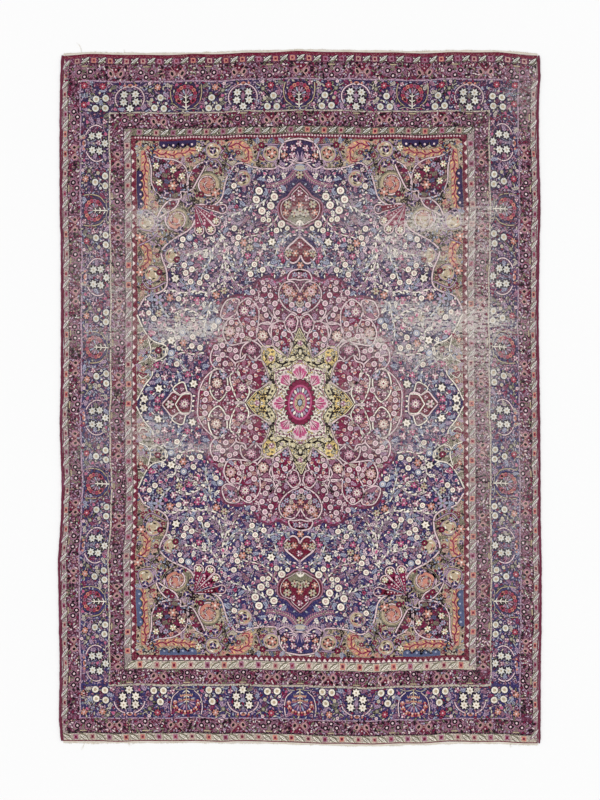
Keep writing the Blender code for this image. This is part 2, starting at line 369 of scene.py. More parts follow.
def curve(points, spacing=1.6):
    """A smooth path through charted points, with stations at an even spacing."""
    points = [complex(point) for point in points]
    padded = [2 * points[0] - points[1]] + points + [2 * points[-1] - points[-2]]
    fine = []
    for a, b, c, d in zip(padded, padded[1:], padded[2:], padded[3:]):
        for t in np.linspace(0, 1, 12, endpoint=False):
            fine.append(0.5 * (2 * b + (c - a) * t + (2 * a - 5 * b + 4 * c - d) * t * t
                               + (3 * b - a - 3 * c + d) * t ** 3))
    fine = np.array(fine + [points[-1]])
    travel = np.concatenate([[0], np.cumsum(abs(np.diff(fine)))])
    stations = np.linspace(0, travel[-1], max(3, int(travel[-1] / spacing) + 1))
    return np.interp(stations, travel, fine.real) + 1j * np.interp(stations, travel, fine.imag)


def inside(points, outline):
    """Whether each point lies inside a closed outline."""
    found = np.zeros(points.shape, bool)
    for a, b in zip(outline, np.roll(outline, -1)):
        crosses = (a.imag > points.imag) != (b.imag > points.imag)
        rise = b.imag - a.imag if b.imag != a.imag else 1e-12
        found ^= crosses & (points.real < (b.real - a.real) * (points.imag - a.imag) / rise + a.real)
    return found


# ------------------------------------------------------------------ single motifs

# The second tone of a flower's petals
TWINS = {"coral": "clay", "magenta": "rose", "rose": "blush", "blush": "rose", "ivory": "straw",
         "gold": "sand", "sky": "lilac", "lilac": "blush", "maroon": "wine", "indigo": "lilac",
         "sand": "blush", "olive": "sand"}


def roundel(cartoon, at, size=1.0, rim="ivory", heart="gold"):
    """A pale disc with a darker ring in it and a dark rim."""
    cartoon.discs(at, ("night", BACKING, 4.0 * size, 10), (rim, PETAL, 3.4 * size, 10),
                  (heart, HEART, 1.7 * size, 8))
    if heart != "gold":
        cartoon.disc(rim, DOT, at, 0.8 * size, 6)
    cartoon.claim(at, 4.0 * size)


def blossom(cartoon, at, size, petals, dye, heart, turn=0.0, backing="night"):
    """A small flower of petals in two tones, usually on a dark ground."""
    if backing:
        cartoon.disc(backing, BACKING, at, size * 1.08)
    petal = rounded(size, size * 3.2 / petals + 0.2)
    cartoon.wreath((dye, TWINS.get(dye, dye)), PETAL, petal, at, petals, turn)
    cartoon.disc(heart, HEART, at, size * 0.26, 6)
    cartoon.claim(at, size + 0.3)


def bud(cartoon, at, size, dye, heart, turn):
    """A bud with two outer petals and a heart of another dye, opening away from its stem."""
    root = at - rect(size * 0.8, turn)
    cartoon.lay("night", BACKING, rounded(size * 2.1, size * 1.9), root - rect(0.4, turn), turn)
    for side in (-1, 1):
        cartoon.lay(dye, PETAL, rounded(size * 1.7, size * 0.9), root, turn + side * 0.26)
    cartoon.lay(heart, HEART, pointed(size * 1.5, size * 0.75), root, turn)
    cartoon.claim(at, size * 0.95)


def star_flower(cartoon, at, size, heart, points, dye):
    """A pale star on a dark ground."""
    cartoon.disc("night", BACKING, at, size * 1.05, 10)
    cartoon.lay(dye, PETAL, spiked(points), at, 0.2, size)
    cartoon.disc(heart, HEART, at, size * 0.26, 6)
    cartoon.claim(at, size + 0.3)


def daisy(cartoon, at, size, outer, inner, turn):
    """A large flower with two rings of eight petals."""
    cartoon.disc("night", BACKING - 1, at, size * 1.06, 10)
    cartoon.wreath((outer,), BACKING, rounded(size, size * 4.4 / 8), at, 8, turn)
    cartoon.wreath((inner,), PETAL, pointed(size * 0.7, size * 0.22), at, 8, turn + np.pi / 8)
    cartoon.disc("maroon", HEART, at, size * 0.2, 6)
    cartoon.claim(at, size + 0.4)


def leaf(cartoon, at, turn, length, width, dye="ivory", level=LEAF, casing=0.0):
    if casing:
        shape = pointed(length + 1.2 * casing, width + casing)
        cartoon.lay("night", level - 0.5, shape, at - rect(0.6 * casing, turn), turn)
    cartoon.lay(dye, level, pointed(length, width), at, turn)
    cartoon.claim(at + rect(length * 0.55, turn), length * 0.4)


def fern(cartoon, root, turn, length, dye, stem="sand", bend=0.25, pairs=6, reach=3.9):
    """A feathery frond of paired leaves."""
    tip = root + rect(length, turn)
    middle = (root + tip) / 2 + rect(length * bend / 2, turn + np.pi / 2)
    path = curve([root, middle, tip])
    cartoon.line(stem, path, 0.6, 0.9, 0.5)
    for n in range(1, pairs + 1):
        place = n / (pairs + 0.4)
        index = min(int(place * (len(path) - 1)), len(path) - 2)
        heading = phase(path[index + 1] - path[index])
        for side in (-1, 1):
            leaf(cartoon, path[index], heading + side * 0.85, reach * (1 - 0.5 * place), 1.1, dye, LEAF, 0.5)
    leaf(cartoon, path[-1], turn + bend * 0.5, 2.6, 1.2, dye)


def scroll(cartoon, centre, radius, start_deg, hand):
    """A pale spiral tendril wound inwards."""
    turns = 1.6
    angles = np.linspace(0, 2 * np.pi * turns, int(16 * turns))
    spiral = radius * (1 - 0.78 * angles / angles[-1])
    spiral = centre + spiral * np.exp(1j * (np.radians(start_deg) + hand * angles))
    cartoon.line("blush", spiral, 1.4, 0.9, 0.7)


# ------------------------------------------------------------------ planting


class Garden:
    """Which places of a rectangle of the cartoon are already planted."""

    CELL = 0.5

    def __init__(self, low, high):
        self.low = low
        span = high - low
        self.shape = (int(span.real / self.CELL), int(span.imag / self.CELL))
        self.taken = np.zeros(self.shape, bool)
        x, y = np.indices(self.shape)
        self.centres = low + (x + 0.5) * self.CELL + 1j * (y + 0.5) * self.CELL

    def window(self, at, radius):
        at = at - self.low
        bounds = [int((value + step * radius) / self.CELL) + (step > 0)
                  for value in (at.real, at.imag) for step in (-1, 1)]
        low_x, high_x, low_y, high_y = (max(0, bound) for bound in bounds)
        return slice(low_x, high_x), slice(low_y, high_y)

    def claim(self, at, radius, marks=None):
        window = self.window(at, radius)
        marks = self.taken if marks is None else marks
        marks[window] |= abs(self.centres[window] - at) < radius

    def scatter(self, mask, radius, spacing, rng):
        """Free places in random order that keep their distance from what is planted and each other."""
        closed = np.pad(self.taken | ~mask, 1, constant_values=True)
        reach = int(radius / self.CELL)
        blocked = closed.copy()
        for step_x in range(-reach, reach + 1):
            for step_y in range(-reach, reach + 1):
                if step_x ** 2 + step_y ** 2 <= reach ** 2:
                    blocked |= np.roll(closed, (step_x, step_y), (0, 1))
        blocked = blocked[1:-1, 1:-1]
        order = [tuple(cell) for cell in np.argwhere(~blocked)]
        rng.shuffle(order)
        places = []
        for cell in order:
            if not blocked[cell]:
                at = self.centres[cell] + complex(rng.uniform(-0.25, 0.25), rng.uniform(-0.25, 0.25))
                places.append(at)
                self.claim(at, spacing, blocked)
        return places


Planting = namedtuple("Planting", "leaves flowers stem blooms sprigs leaf specks backing")
FIELD_PLANTING = Planting(
    ("ivory", "lilac", "sky", "rose", "sky", "blush", "ivory", "lilac", "mauve"),
    (("roundel", "ivory", "clay"), ("bud", "magenta", "blush"), ("bud", "rose", "magenta"),
     ("bud", "blush", "magenta"), ("bud", "magenta", "wine"), ("petals", "sand", "maroon"),
     ("petals", "rose", "wine"), ("bud", "lilac", "plum")),
    "sky", 10.0, 6.6, 4.2, 4.6, "night")
MEDALLION_PLANTING = Planting(
    ("blush", "rose", "lilac", "maroon", "sky", "clay", "rose", "sand"),
    (("roundel", "blush", "rose"), ("bud", "blush", "coral"), ("petals", "blush", "maroon")),
    "rose", 9.5, 7.0, 4.6, 5.2, "night")
CORNER_PLANTING = Planting(
    ("sand", "night", "sky", "olive", "maroon", "olive", "clay", "night", "lilac", "slate"),
    (("petals", "coral", "maroon"), ("petals", "indigo", "sand"), ("petals", "maroon", "sand")),
    "night", 13.0, 6.4, 3.4, 3.4, None)
MAIN_PLANTING = Planting(
    ("lilac", "mauve", "rose", "sand", "lilac", "maroon", "sky", "olive", "plum"),
    (("bud", "rose", "magenta"), ("bud", "lilac", "plum"), ("petals", "rose", "maroon")),
    "lilac", 12.0, 7.0, 4.0, 4.2, "night")
SMALL_PLANTING = Planting(
    ("night", "rose", "mauve", "lilac", "night", "blush", "rose", "olive", "maroon", "lilac"),
    (("petals", "rose", "blush"),), "rose", 0.0, 0.0, 2.8, 2.6, "night")
STAR_PLANTING = Planting(
    ("night", "olive", "saffron", "ivory", "gold"), (), "night", 0.0, 0.0, 3.8, 2.8, None)
IVORY_PLANTING = Planting(
    ("clay", "gold", "olive", "rose", "maroon", "saffron"), (), "clay", 0.0, 0.0, 2.6, 1.9, None)

DARK_GROUND_SPECKS = ("night", "lilac", "rose", "night", "plum")


def bloom(cartoon, flower, at, turn, backing, rng):
    kind, dye, heart = flower
    if kind == "roundel":
        roundel(cartoon, at, rng.uniform(0.66, 0.86), dye, heart)
    elif kind == "bud":
        bud(cartoon, at, rng.uniform(2.0, 2.7), dye, heart, turn)
    else:
        blossom(cartoon, at, rng.uniform(2.1, 3.0), rng.choice((5, 6, 7)), dye, heart, turn, backing)


def branch_to(cartoon, at, stations, planting, rng):
    """A leafy stem from the nearest station to a flower. Gives back its stations and its heading."""
    known = np.array(stations)
    nearest = known[np.argmin(abs(known - at))]
    if not 3.0 < abs(at - nearest) < 17:
        return [], lean_at(at)
    bulge = (at - nearest) * 1j * rng.uniform(-0.28, 0.28)
    path = curve([nearest, (at + nearest) / 2 + bulge, at], 1.5)
    cartoon.line(planting.stem, path, 1.0, 0.8, 0.7)
    dye = rng.choice(planting.leaves)
    for n, station in enumerate(path[1:-2:2]):
        heading = phase(at - nearest) + (0.9 if n % 2 else -0.9)
        leaf(cartoon, station, heading, rng.uniform(3.0, 4.2), 1.6, dye, LEAF, 0.8)
    return list(path[2:-1]), phase(path[-1] - path[-2])


def lean_at(at):
    """Which way foliage leans at a place, so that neighbours run alike."""
    return 2.2 * math.sin(at.real / 15 + 1.7 * math.sin(at.imag / 21)) + 1.9 * math.sin(at.imag / 17 + 0.7)


def sprig(cartoon, at, turn, dye, stem):
    """A short leafy stem."""
    root, tip = at - rect(3.2, turn), at + rect(2.4, turn)
    cartoon.stroke(stem, STEM, curve([root, at + rect(0.6, turn + 1.5), tip], 1.7), 0.9, 0.6)
    for place, side in ((0.1, -1), (0.22, 1), (0.45, -1), (0.55, 1), (0.8, -1), (0.85, 1)):
        leaf(cartoon, root + (tip - root) * place, turn + side * 0.8, 3.1 - place, 1.4, dye)
    leaf(cartoon, tip - rect(0.6, turn), turn, 2.8, 1.4, dye)


def plant(cartoon, mask, planting, seed, stems=(), specks=DARK_GROUND_SPECKS, slim=1.0):
    """Fills a region: flowers on stems, sprigs, single leaves, then specks in what is left."""
    garden = cartoon.garden
    rng = random.Random(seed)
    stations = list(stems)
    waiting = garden.scatter(mask, 2.5, planting.blooms, rng) if planting.blooms else []
    while waiting:
        if stations:
            known = np.array(stations)
            waiting.sort(key=lambda place: min(abs(known - place)))
        batch, waiting = waiting[:12], waiting[12:]
        for at in batch:
            turn = lean_at(at)
            if stations:
                grown, turn = branch_to(cartoon, at, stations, planting, rng)
                stations.extend(grown)
            bloom(cartoon, rng.choice(planting.flowers), at, turn, planting.backing, rng)
            stations.append(at)
    if planting.sprigs:
        for at in garden.scatter(mask, 2.0, planting.sprigs, rng):
            turn, dye = lean_at(at) + rng.uniform(-0.4, 0.4), rng.choice(planting.leaves)
            sprig(cartoon, at, turn, dye, planting.stem)
    for at in garden.scatter(mask, 0.9, planting.leaf, rng):
        turn = lean_at(at) + rng.choice((-0.8, 0.8)) + rng.uniform(-0.3, 0.3)
        length = rng.uniform(2.8, 4.2)
        dye = rng.choice(planting.leaves)
        width = rng.uniform(1.4, 1.9) * slim
        leaf(cartoon, at - rect(length / 2, turn), turn, length * slim, width, dye, LEAF, 0.9)
    for at in garden.scatter(mask, 0.5, planting.specks, rng):
        cartoon.lay(rng.choice(specks), STEM, DISCS[4], at, rng.random(), rng.uniform(0.45, 0.8))


# ------------------------------------------------------------------ borders

Frame = namedtuple("Frame", "half_width head foot")


def band_frames():
    """The rectangle outside each band, and last the field's own."""
    frames = [Frame(HALF_WIDTH, HALF_LENGTH, -HALF_LENGTH)]
    for band in BANDS:
        last = frames[-1]
        frames.append(Frame(last.half_width - band.side, last.head - band.head, last.foot + band.foot))
    return frames


FRAMES = band_frames()
BAND_AT = {}
for number, band in enumerate(BANDS):
    BAND_AT.setdefault(band.name, number)

Side = namedtuple("Side", "name origin along depth reach lengthwise")


def band_sides(name):
    """Local frames of a band's four sides: from its inner edge outwards, and how far each way it runs."""
    inner, outer = FRAMES[BAND_AT[name] + 1], FRAMES[BAND_AT[name]]
    wide = outer.half_width - inner.half_width
    return (Side("head", 1j * inner.head, 1 + 0j, outer.head - inner.head, inner.half_width, False),
            Side("foot", 1j * inner.foot, -1 + 0j, inner.foot - outer.foot, inner.half_width, False),
            Side("left", -inner.half_width + 0j, 1j, wide, inner.head, True),
            Side("right", inner.half_width + 0j, -1j, wide, inner.head, True))


def lay_band_grounds(cartoon):
    """The plain coloured ground of every band that isn't indigo, in cells that follow the pile."""
    cell = 5.0
    for number, band in enumerate(BANDS):
        if band.dye == "indigo" or band.name == "rim":
            continue
        corners = [[complex(-f.half_width, f.foot), complex(f.half_width, f.foot),
                    complex(f.half_width, f.head), complex(-f.half_width, f.head)]
                   for f in (FRAMES[number], FRAMES[number + 1])]
        for n in range(4):
            a, b, c, d = corners[0][n], corners[0][n - 3], corners[1][n], corners[1][n - 3]
            depth = abs((a - c).real if n % 2 else (a - c).imag)
            if depth < 0.01:
                continue
            across, along = max(1, round(depth / cell)), round(abs(b - a) / cell)
            shares = np.linspace(0, 1, along + 1)
            rows = [(a + (c - a) * t) * (1 - shares) + (b + (d - b) * t) * shares
                    for t in np.linspace(0, 1, across + 1)]
            width = along + 1
            faces = [(r * width + k, r * width + k + 1, (r + 1) * width + k + 1, (r + 1) * width + k)
                     for r in range(across) for k in range(along)]
            dye = GUARD_DYES[band.name][n] if band.name in GUARD_DYES else band.dye
            cartoon.add(dye, GROUND, np.concatenate(rows), faces)


Guard = namedtuple("Guard", "name end_pitch side_pitch")
GUARDS = (Guard("outer_guard", 16.3, 19.8), Guard("inner_guard", 16.6, 19.8))


def guard_stripe(cartoon, guard):
    """Rose squares and slanting leaves by turns."""
    rng = random.Random(guard.name)
    for side in band_sides(guard.name):
        cartoon.stand_at(side.origin, side.along)
        length, depth = 2 * side.reach, side.depth
        count = round(length / (guard.side_pitch if side.lengthwise else guard.end_pitch))
        step = length / count
        lean = -1 if side.lengthwise or (side.name, guard.name) == ("foot", "outer_guard") else 1
        casing = {"head": "night", "foot": "olive"}.get(side.name, "mauve")
        pale = "ivory" if side.name == "foot" else "pearl"
        for n in range(count):
            s = -length / 2 + (n + 0.5) * step
            outer, inner = slanted(step * 0.28, depth - 1.6, 0), slanted(step * 0.15, depth * 0.4, 0)
            cartoon.lay(rng.choice(("clay", "rose", "coral")), PANEL, outer + 0.8j, s)
            cartoon.lay(rng.choice(("maroon", "crimson", "plum")), INSET, inner + 0.3j * depth, s)
            for turn in (0.8, 2.35):
                cartoon.lay("wine", SHADE, slanted(0.6, 2.6, 0) - 1.3j, s + 0.5j * depth, turn)
            middle = s + 0.5 * step + 0.5j * depth
            for dye, level, long, wide, rise in (
                    (casing, PANEL, 0.74, 5.2, 0.0), ("olive", INSET, 0.56, 1.6, -1.5),
                    (pale, SHADE, 0.62, 2.4, 0.5), ("night", STEM, 0.34, 0.6, 0.4)):
                shape = pointed(long * step, wide) - long * step / 2
                cartoon.lay(dye, level, shape, middle + 1j * rise, lean * 0.62)
            for end in (-1, 1):
                at = middle + end * (0.17 * step + 0.26j * depth * -lean)
                cartoon.disc("night", INSET, at, 1.4 if side.name == "head" else 0.9, 6)
                cartoon.disc("ivory", SHADE, at + 0.3j * end, 0.7, 6)
    cartoon.stand_at()


SmallBorder = namedtuple("SmallBorder", "name end_pitch end_start end_ground side_pitch side_start")
SMALL_BORDERS = (
    SmallBorder("outer_small", 61.7, 30.85, "mauve", 70.5, 0.0),
    SmallBorder("inner_small", 56.5, 0.0, "plum", 72.0, -12.0),
)


def three_rings(cartoon, s, depth, ground):
    """Three dark rings round a short stalk, on a lozenge."""
    lozenge = np.array([-16 + 0.55j, -10 + 0.16j, 0.04j, 10 + 0.16j, 16 + 0.55j, 10 + 0.95j, -10 + 0.95j])
    lozenge = lozenge.real + 1j * lozenge.imag * depth
    middle = 0.5j * depth
    for dye, level, grow in (("wine", PANEL, 1.0), (ground, INSET, 0.93)):
        cartoon.lay(dye, level, (lozenge - middle) * grow + middle, s)
    for ring in (-5.6 + 0.52j, 5.6 + 0.52j, 0.2j):
        at = s + ring.real + 1j * ring.imag * depth
        cartoon.discs(at, ("rose", LEAF, 3.6, 8), ("night", BACKING, 2.8, 8), ("blush", PETAL, 1.15, 8))
        cartoon.claim(at, 3.0)
    for dye, level, grow in (("night", LEAF, 0.7), ("gold", BACKING, 0.0)):
        cartoon.lay(dye, level, slanted(6.6 + grow, 1.1 + grow, 0) - 0.5j * grow, s + 0.86j * depth)
    for x in (-0.9, 0.9):
        cartoon.lay("olive", BACKING, slanted(0.8, 0.34 * depth, 0.3 * x), s + x + 0.52j * depth)
    for side in (-1, 1):
        leaf(cartoon, s + side * 10.2 + 0.7j * depth, 1.57 + side * 0.9, 3.6, 1.3, "olive")
        leaf(cartoon, s + side * 3.4 + 0.12j * depth, 1.57 - side * 2.0, 3.4, 1.2, "night")
    cartoon.claim(s + 0.75j * depth, 2.4)


def butterfly(cartoon, s, depth):
    """Two rose wings with dark eyes, crossed by clay stems over a dark red fan."""
    cartoon.lay("wine", INSET, [0.28j * depth, 6.8 + 0.97j * depth, -6.8 + 0.97j * depth], s)
    for side in (-1, 1):
        eye = s + side * 5.0 + 0.45j * depth
        for dye, level, width, height in (("night", SHADE, 8.6, 0.8), ("rose", STEM, 7.8, 0.72),
                                          ("clay", LEAF, 4.6, 0.42), ("night", BACKING, 2.9, 0.30)):
            cartoon.lay(dye, level, oval(width, height * depth, 8), eye, side * -0.5)
        for foot, tip in ((0.1 + 0.3j, 7.4 + 0.96j), (0.4 + 0.5j, 7.2 + 0.04j)):
            ends = [s + side * p.real + 1j * p.imag * depth for p in (foot, tip)]
            cartoon.stroke("clay", PETAL, curve(ends, 3), 0.55)
        cartoon.claim(eye, 3.2)
    cartoon.disc("sky", HEART, s + 0.2j * depth, 0.9, 6)
    cartoon.disc("blush", HEART, s + 0.72j * depth, 0.8, 6)
    cartoon.claim(s + 0.6j * depth, 3.0)


def small_border(cartoon, border):
    """A secondary border: three-ring motifs and butterflies by turns, small leaves between them."""
    rng = random.Random(border.name)
    for side in band_sides(border.name):
        cartoon.stand_at(side.origin, side.along)
        depth = side.depth
        if side.lengthwise:
            pitch, start, ground = border.side_pitch, border.side_start, "mauve"
        else:
            pitch, start, ground = border.end_pitch, border.end_start, border.end_ground
        if side.name == "right":
            start = -start
        reach = side.reach + (0 if side.lengthwise else depth)
        cartoon.garden = Garden(complex(-reach, 0), complex(reach, depth))
        first = math.ceil((-reach + 6 - start) / pitch * 2)
        last = math.floor((reach - 6 - start) / pitch * 2)
        for n in range(first, last + 1):
            s = start + n * pitch / 2
            if n % 2:
                butterfly(cartoon, s, depth)
            else:
                three_rings(cartoon, s, depth, ground)
            for row in range(5):
                for column in range(3):
                    x = s + pitch / 4 + 2.6 * (column - 1) + rng.uniform(-0.5, 0.5)
                    if abs(x) < reach - 1:
                        turn = rng.uniform(0, 6.28)
                        dye = rng.choice(("pearl", "clay", "night", "lilac", "olive"))
                        leaf(cartoon, x + 1j * depth * (0.12 + 0.19 * row), turn, 2.2, 1.3, dye, BACKING)
        plant(cartoon, np.ones(cartoon.garden.shape, bool), SMALL_PLANTING, border.name + side.name)
    cartoon.garden = None
    cartoon.stand_at()


# How the arch wraps round its flowers, and how wide it is, on each side of the carpet
Arch = namedtuple("Arch", "half_width wraps")
ARCHES = {
    "head": Arch(14.5, ((-35, 215),)), "foot": Arch(15.5, ((5, 72), (108, 175))),
    "left": Arch(18.0, ((-30, 62), (118, 210))), "right": Arch(18.0, ((-30, 62), (118, 210))),
}
ARCH_FLOWERS = ((0, 3.6), (-6.6, 10.0), (6.6, 10.0), (-6.0, 17.8), (6.0, 17.8))


def flower_arch(cartoon, s, side):
    """A pale arch round five star flowers, with a pink fan at its crown."""
    arch = ARCHES[side]

    def at(angle, share=1.0):
        return s + arch.half_width * share * np.cos(angle) + 1j * (13.5 + 12.6 * share * np.sin(angle))

    for start, end in np.radians(arch.wraps):
        cartoon.line("blush", at(np.linspace(start, end, int((end - start) / 0.1) + 1)), 1.1, 0.8)
    for angle in np.radians(np.arange(-25, 206, 11)):
        if abs(angle - np.pi / 2) > 0.35:
            for share, length, dye in ((0.84, 2.0, "mauve"), (1.08, 2.2, "lilac")):
                if 0.5 < at(angle, share).imag < 28.5:
                    leaf(cartoon, at(angle, share), angle + 0.3, length, 1.1, dye)
    for x in (-1.1, 0, 1.1):
        cartoon.stroke("lilac", STEM, curve([s + x + 5j, s + x * 0.7 + 15j, s + x + 24j], 3), 0.5)
    for x, t in ARCH_FLOWERS:
        if x:
            cartoon.line("sky", curve([s + 22.5j, s + x * 0.5 + 1j * (t + 3.4), s + x + 1j * t]), 0.5, 0.5)
        middle = s + x * (arch.half_width / 15.5) + 1j * t
        star_flower(cartoon, middle, 4.3, "gold", 7, "ivory" if side == "foot" else "pearl")
        for turn in (0.5, 2.6):
            leaf(cartoon, middle + rect(3.4, turn), turn, 2.2, 1.5, "night")
    for angle in np.linspace(-1.2, 1.2, 5):
        dye = "blush" if abs(angle) > 0.7 else "coral"
        cartoon.lay(dye, PETAL, rounded(3.6, 2.1), s + 25.0j, np.pi / 2 + angle)
    for x in (-5.4, 5.4):
        cartoon.disc("coral", PETAL, s + x + 27.0j, 1.2, 6)
    cartoon.claim(s + 26j, 4)


def tree_palmette(cartoon, s, side):
    """A pale tree in a crown of red lobes, held by two pale crescents."""
    at_foot = side == "foot"
    for way in (-1, 1):
        path = curve([s + way * x + 1j * t for x, t in ((14.5, 27.5), (15.5, 19), (13.5, 10), (7.8, 4.6))])
        cartoon.line("blush" if at_foot else "gold", path, 1.0, 0.8, 0.8)
        cartoon.line("sand", curve([s + way * 13 + 1.6j, s + way * 7 + 3.4j, s + 1.8j]), 0.6, 0.5)
        for n in range(5):
            leaf(cartoon, s + way * 18.0 + 1j * (6 + 4.2 * n), 1.2 + 0.2 * n, 2.3, 1.1, "lilac")
    for n, angle in enumerate(np.radians(np.linspace(-20, 200, 11))):
        dye = ("lilac", "rose", "sky", "mauve")[n % 4]
        cartoon.lay(dye, LEAF, pointed(6.6, 1.7), s + 14.6j + rect(1, angle) * 2.6, angle)
    if at_foot:
        for n, angle in enumerate(np.radians(np.linspace(-12, 192, 14))):
            at = s + 11.4 * np.cos(angle) + 1j * (17.0 + 8.6 * np.sin(angle))
            cartoon.disc(("coral", "maroon")[n % 2], PETAL, at, 2.2)
            cartoon.disc(("blush", "coral")[n % 2], HEART, at - 1.2j, 1.0, 6)
        for t, reach in ((8.5, 6.0), (13.0, 7.5)):
            tier = curve([s - reach + 1j * (t + 1), s + 1j * t, s + reach + 1j * (t + 1)])
            cartoon.stroke("coral", LEAF, tier, 1.5)
            for x in np.linspace(-reach, reach, 7):
                cartoon.lay("gold", PETAL, slanted(0.7, 1.5, 0), s + x + 1j * (t - 1.0))
    else:
        cartoon.lay("plum", PANEL, oval(21, 20, 16), s + 15.4j)
        cartoon.lay("night", INSET, oval(16.5, 15, 14), s + 15.0j)
        for n, angle in enumerate(np.radians(np.linspace(-28, 208, 12))):
            at = s + 9.4 * np.cos(angle) + 1j * (16.4 + 9.0 * np.sin(angle))
            lobe = ("crimson", "mauve", "crimson", "coral")[n % 4]
            cartoon.discs(at, ("night", BACKING, 2.8, 8), (lobe, PETAL, 2.1, 8), ("maroon", HEART, 0.9, 6))
        for way in (-1, 1):
            cartoon.discs(s + way * 6.6 + 10.6j, ("crimson", PETAL, 2.3, 8), ("night", HEART, 1.1, 6))
    cartoon.line("gold" if at_foot else "ivory", curve([s + 2j, s + 12j, s + 21j]), 1.2, 0.8, 0.6)
    for way in (-1, 1):
        for t, reach in ((4.0, 4.6), (9.0, 3.6), (14, 3.2)):
            leaf(cartoon, s + 1j * t, np.pi / 2 - way * 1.0, reach, 1.0, "ivory", PETAL)
    cartoon.claim(s + 15j, 13)


Spot = namedtuple("Spot", "s t size kind dye heart")
CLUSTER = (
    Spot(24.5, 4.2, 1.0, "roundel", "ivory", "gold"), Spot(34.0, 3.8, 1.0, "roundel", "ivory", "gold"),
    Spot(31.0, 14.6, 1.0, "roundel", "ivory", "gold"), Spot(28.0, 25.0, 3.5, "petals", "coral", "blush"),
    Spot(22.0, 12.0, 0.55, "roundel", "sand", "gold"), Spot(20.2, 21.5, 0.6, "roundel", "olive", "sand"),
    Spot(19.5, 28.4, 0.5, "roundel", "blush", "rose"), Spot(36.6, 9.0, 0.42, "roundel", "ivory", "lilac"),
)
CLUSTER_STEMS = (
    ((13, 26.5), (20, 22), (27, 15), (33, 8), (37, 1.5)), ((34, 5), (30, 12), (24, 18), (20, 22)),
    ((28, 25), (23, 24), (20, 22), (17, 25), (19.5, 28)),
)
CLUSTER_LEAVES = (
    (15, 21, 2.4, "sky"), (23, 27, 0.6, "olive"), (18.5, 14.5, -2.4, "lilac"), (28.5, 8.5, 0.9, "sky"),
    (37.5, 12.0, 1.4, "lilac"), (36, 20, 2.0, "lilac"), (33, 28, 0.4, "sky"), (25.6, 20.2, -0.5, "lilac"),
    (18.2, 5.0, 2.0, "rose"), (17.6, 1.6, 0.5, "sky"), (29, 1.0, 0.2, "lilac"), (27.6, 10.6, -1.2, "ivory"),
    (34.6, 21.2, 0.7, "rose"), (32.5, 25.4, 0.2, "sand"),
)


def border_cluster(cartoon, s, tree, side, rng):
    """Roundels, flowers and slanting stems between an arch and a tree."""
    way = 1 if tree > s else -1
    shift = (abs(tree - s) - END_PITCH) * (0.8 if side.lengthwise else 0.4)

    def at(x, t):
        return s + way * (x + shift) + 1j * t

    for points in CLUSTER_STEMS:
        cartoon.line("sand", curve([at(*p) for p in points]), 0.75, 0.7)
    for spot in CLUSTER:
        if spot.kind == "petals":
            dye = rng.choice(("coral", "crimson", "crimson"))
            blossom(cartoon, at(spot.s, spot.t), spot.size, 7, dye, spot.heart)
        else:
            dye = "pearl" if spot.dye == "ivory" and side.name != "foot" else spot.dye
            roundel(cartoon, at(spot.s, spot.t), spot.size, dye, spot.heart)
    for x, t, turn, dye in CLUSTER_LEAVES:
        leaf(cartoon, at(x, t), turn if way > 0 else np.pi - turn, 3.1, 1.3, dye)


def border_corner(cartoon, sign_x, sign_y):
    """The main border's corner square: four roundels, three flowers and two ferns."""
    inner = FRAMES[BAND_AT["main"] + 1]
    origin = complex(sign_x * inner.half_width, inner.head if sign_y > 0 else inner.foot)

    def at(x, y):
        return origin + complex(sign_x * x, sign_y * y)

    for points in (((2, 1), (8, 8), (13, 15), (17, 24)), ((4, 4), (14, 4)), ((4, 14), (14, 13))):
        cartoon.line("sand", curve([at(*p) for p in points]), 0.7, 0.6)
    for x, y in ((3.5, 4), (13.2, 3.4), (3.0, 14), (12.4, 12.8)):
        roundel(cartoon, at(x, y), 1.0, "pearl" if sign_y > 0 else "ivory")
    for x, y in ((24.6, 7), (24.6, 26), (6.5, 25.6)):
        blossom(cartoon, at(x, y), 3.5, 7, "coral" if sign_y < 0 else "crimson", "blush")
    for x, y, lean_x, lean_y, length in ((14, 15, 0.98, 0.15, 13), (15, 17, 0.3, 0.95, 12)):
        turn = phase(complex(sign_x * lean_x, sign_y * lean_y))
        fern(cartoon, at(x, y), turn, length, "sky", "sand", 0.1, 5, 3.4)
    for x, y in ((-1, 22), (20, 2), (9, 19), (19, 11), (1, 29)):
        cartoon.disc("sand", PETAL, at(x, y), 1.3, 6)


# Middles of the arches and trees along the long sides, counted from the carpet's middle
SIDE_ARCHES = (255.0, 124.0, -14.5, -145.5, -266.0)
SIDE_TREES = (189.5, 55.0, -82.0, -203.0)
END_PITCH = 56.6


def main_border(cartoon):
    """Arches and trees by turns, with clusters between them, and a square in each corner."""
    rng = random.Random("main border")
    for side in band_sides("main"):
        cartoon.stand_at(side.origin, side.along, side.depth / 30.0)
        if side.lengthwise:
            way = 1 if side.name == "left" else -1
            arches, trees = (sorted(way * y for y in places) for places in (SIDE_ARCHES, SIDE_TREES))
            reach = side.reach
        else:
            arches, trees = ([n * END_PITCH for n in places] for places in ((-3, -1, 1, 3), (-2, 0, 2)))
            reach = side.reach + 28
        cartoon.garden = Garden(complex(-reach, 0), complex(reach, 30))
        for s in arches:
            flower_arch(cartoon, s, side.name)
        for s in trees:
            tree_palmette(cartoon, s, side.name)
        for s in arches:
            for tree in trees:
                if abs(tree - s) < 75:
                    border_cluster(cartoon, s, tree, side, rng)
        if not side.lengthwise:
            for x in (side.reach + 3.3, side.reach + 12.8, -side.reach - 3.3, -side.reach - 12.8):
                for y in (4, 13.5):
                    cartoon.garden.claim(complex(x, y), 4.4)
        plant(cartoon, np.ones(cartoon.garden.shape, bool), MAIN_PLANTING, "main" + side.name)
    cartoon.garden = None
    cartoon.stand_at()
    for sign_x, sign_y in QUARTERS:
        border_corner(cartoon, sign_x, sign_y)


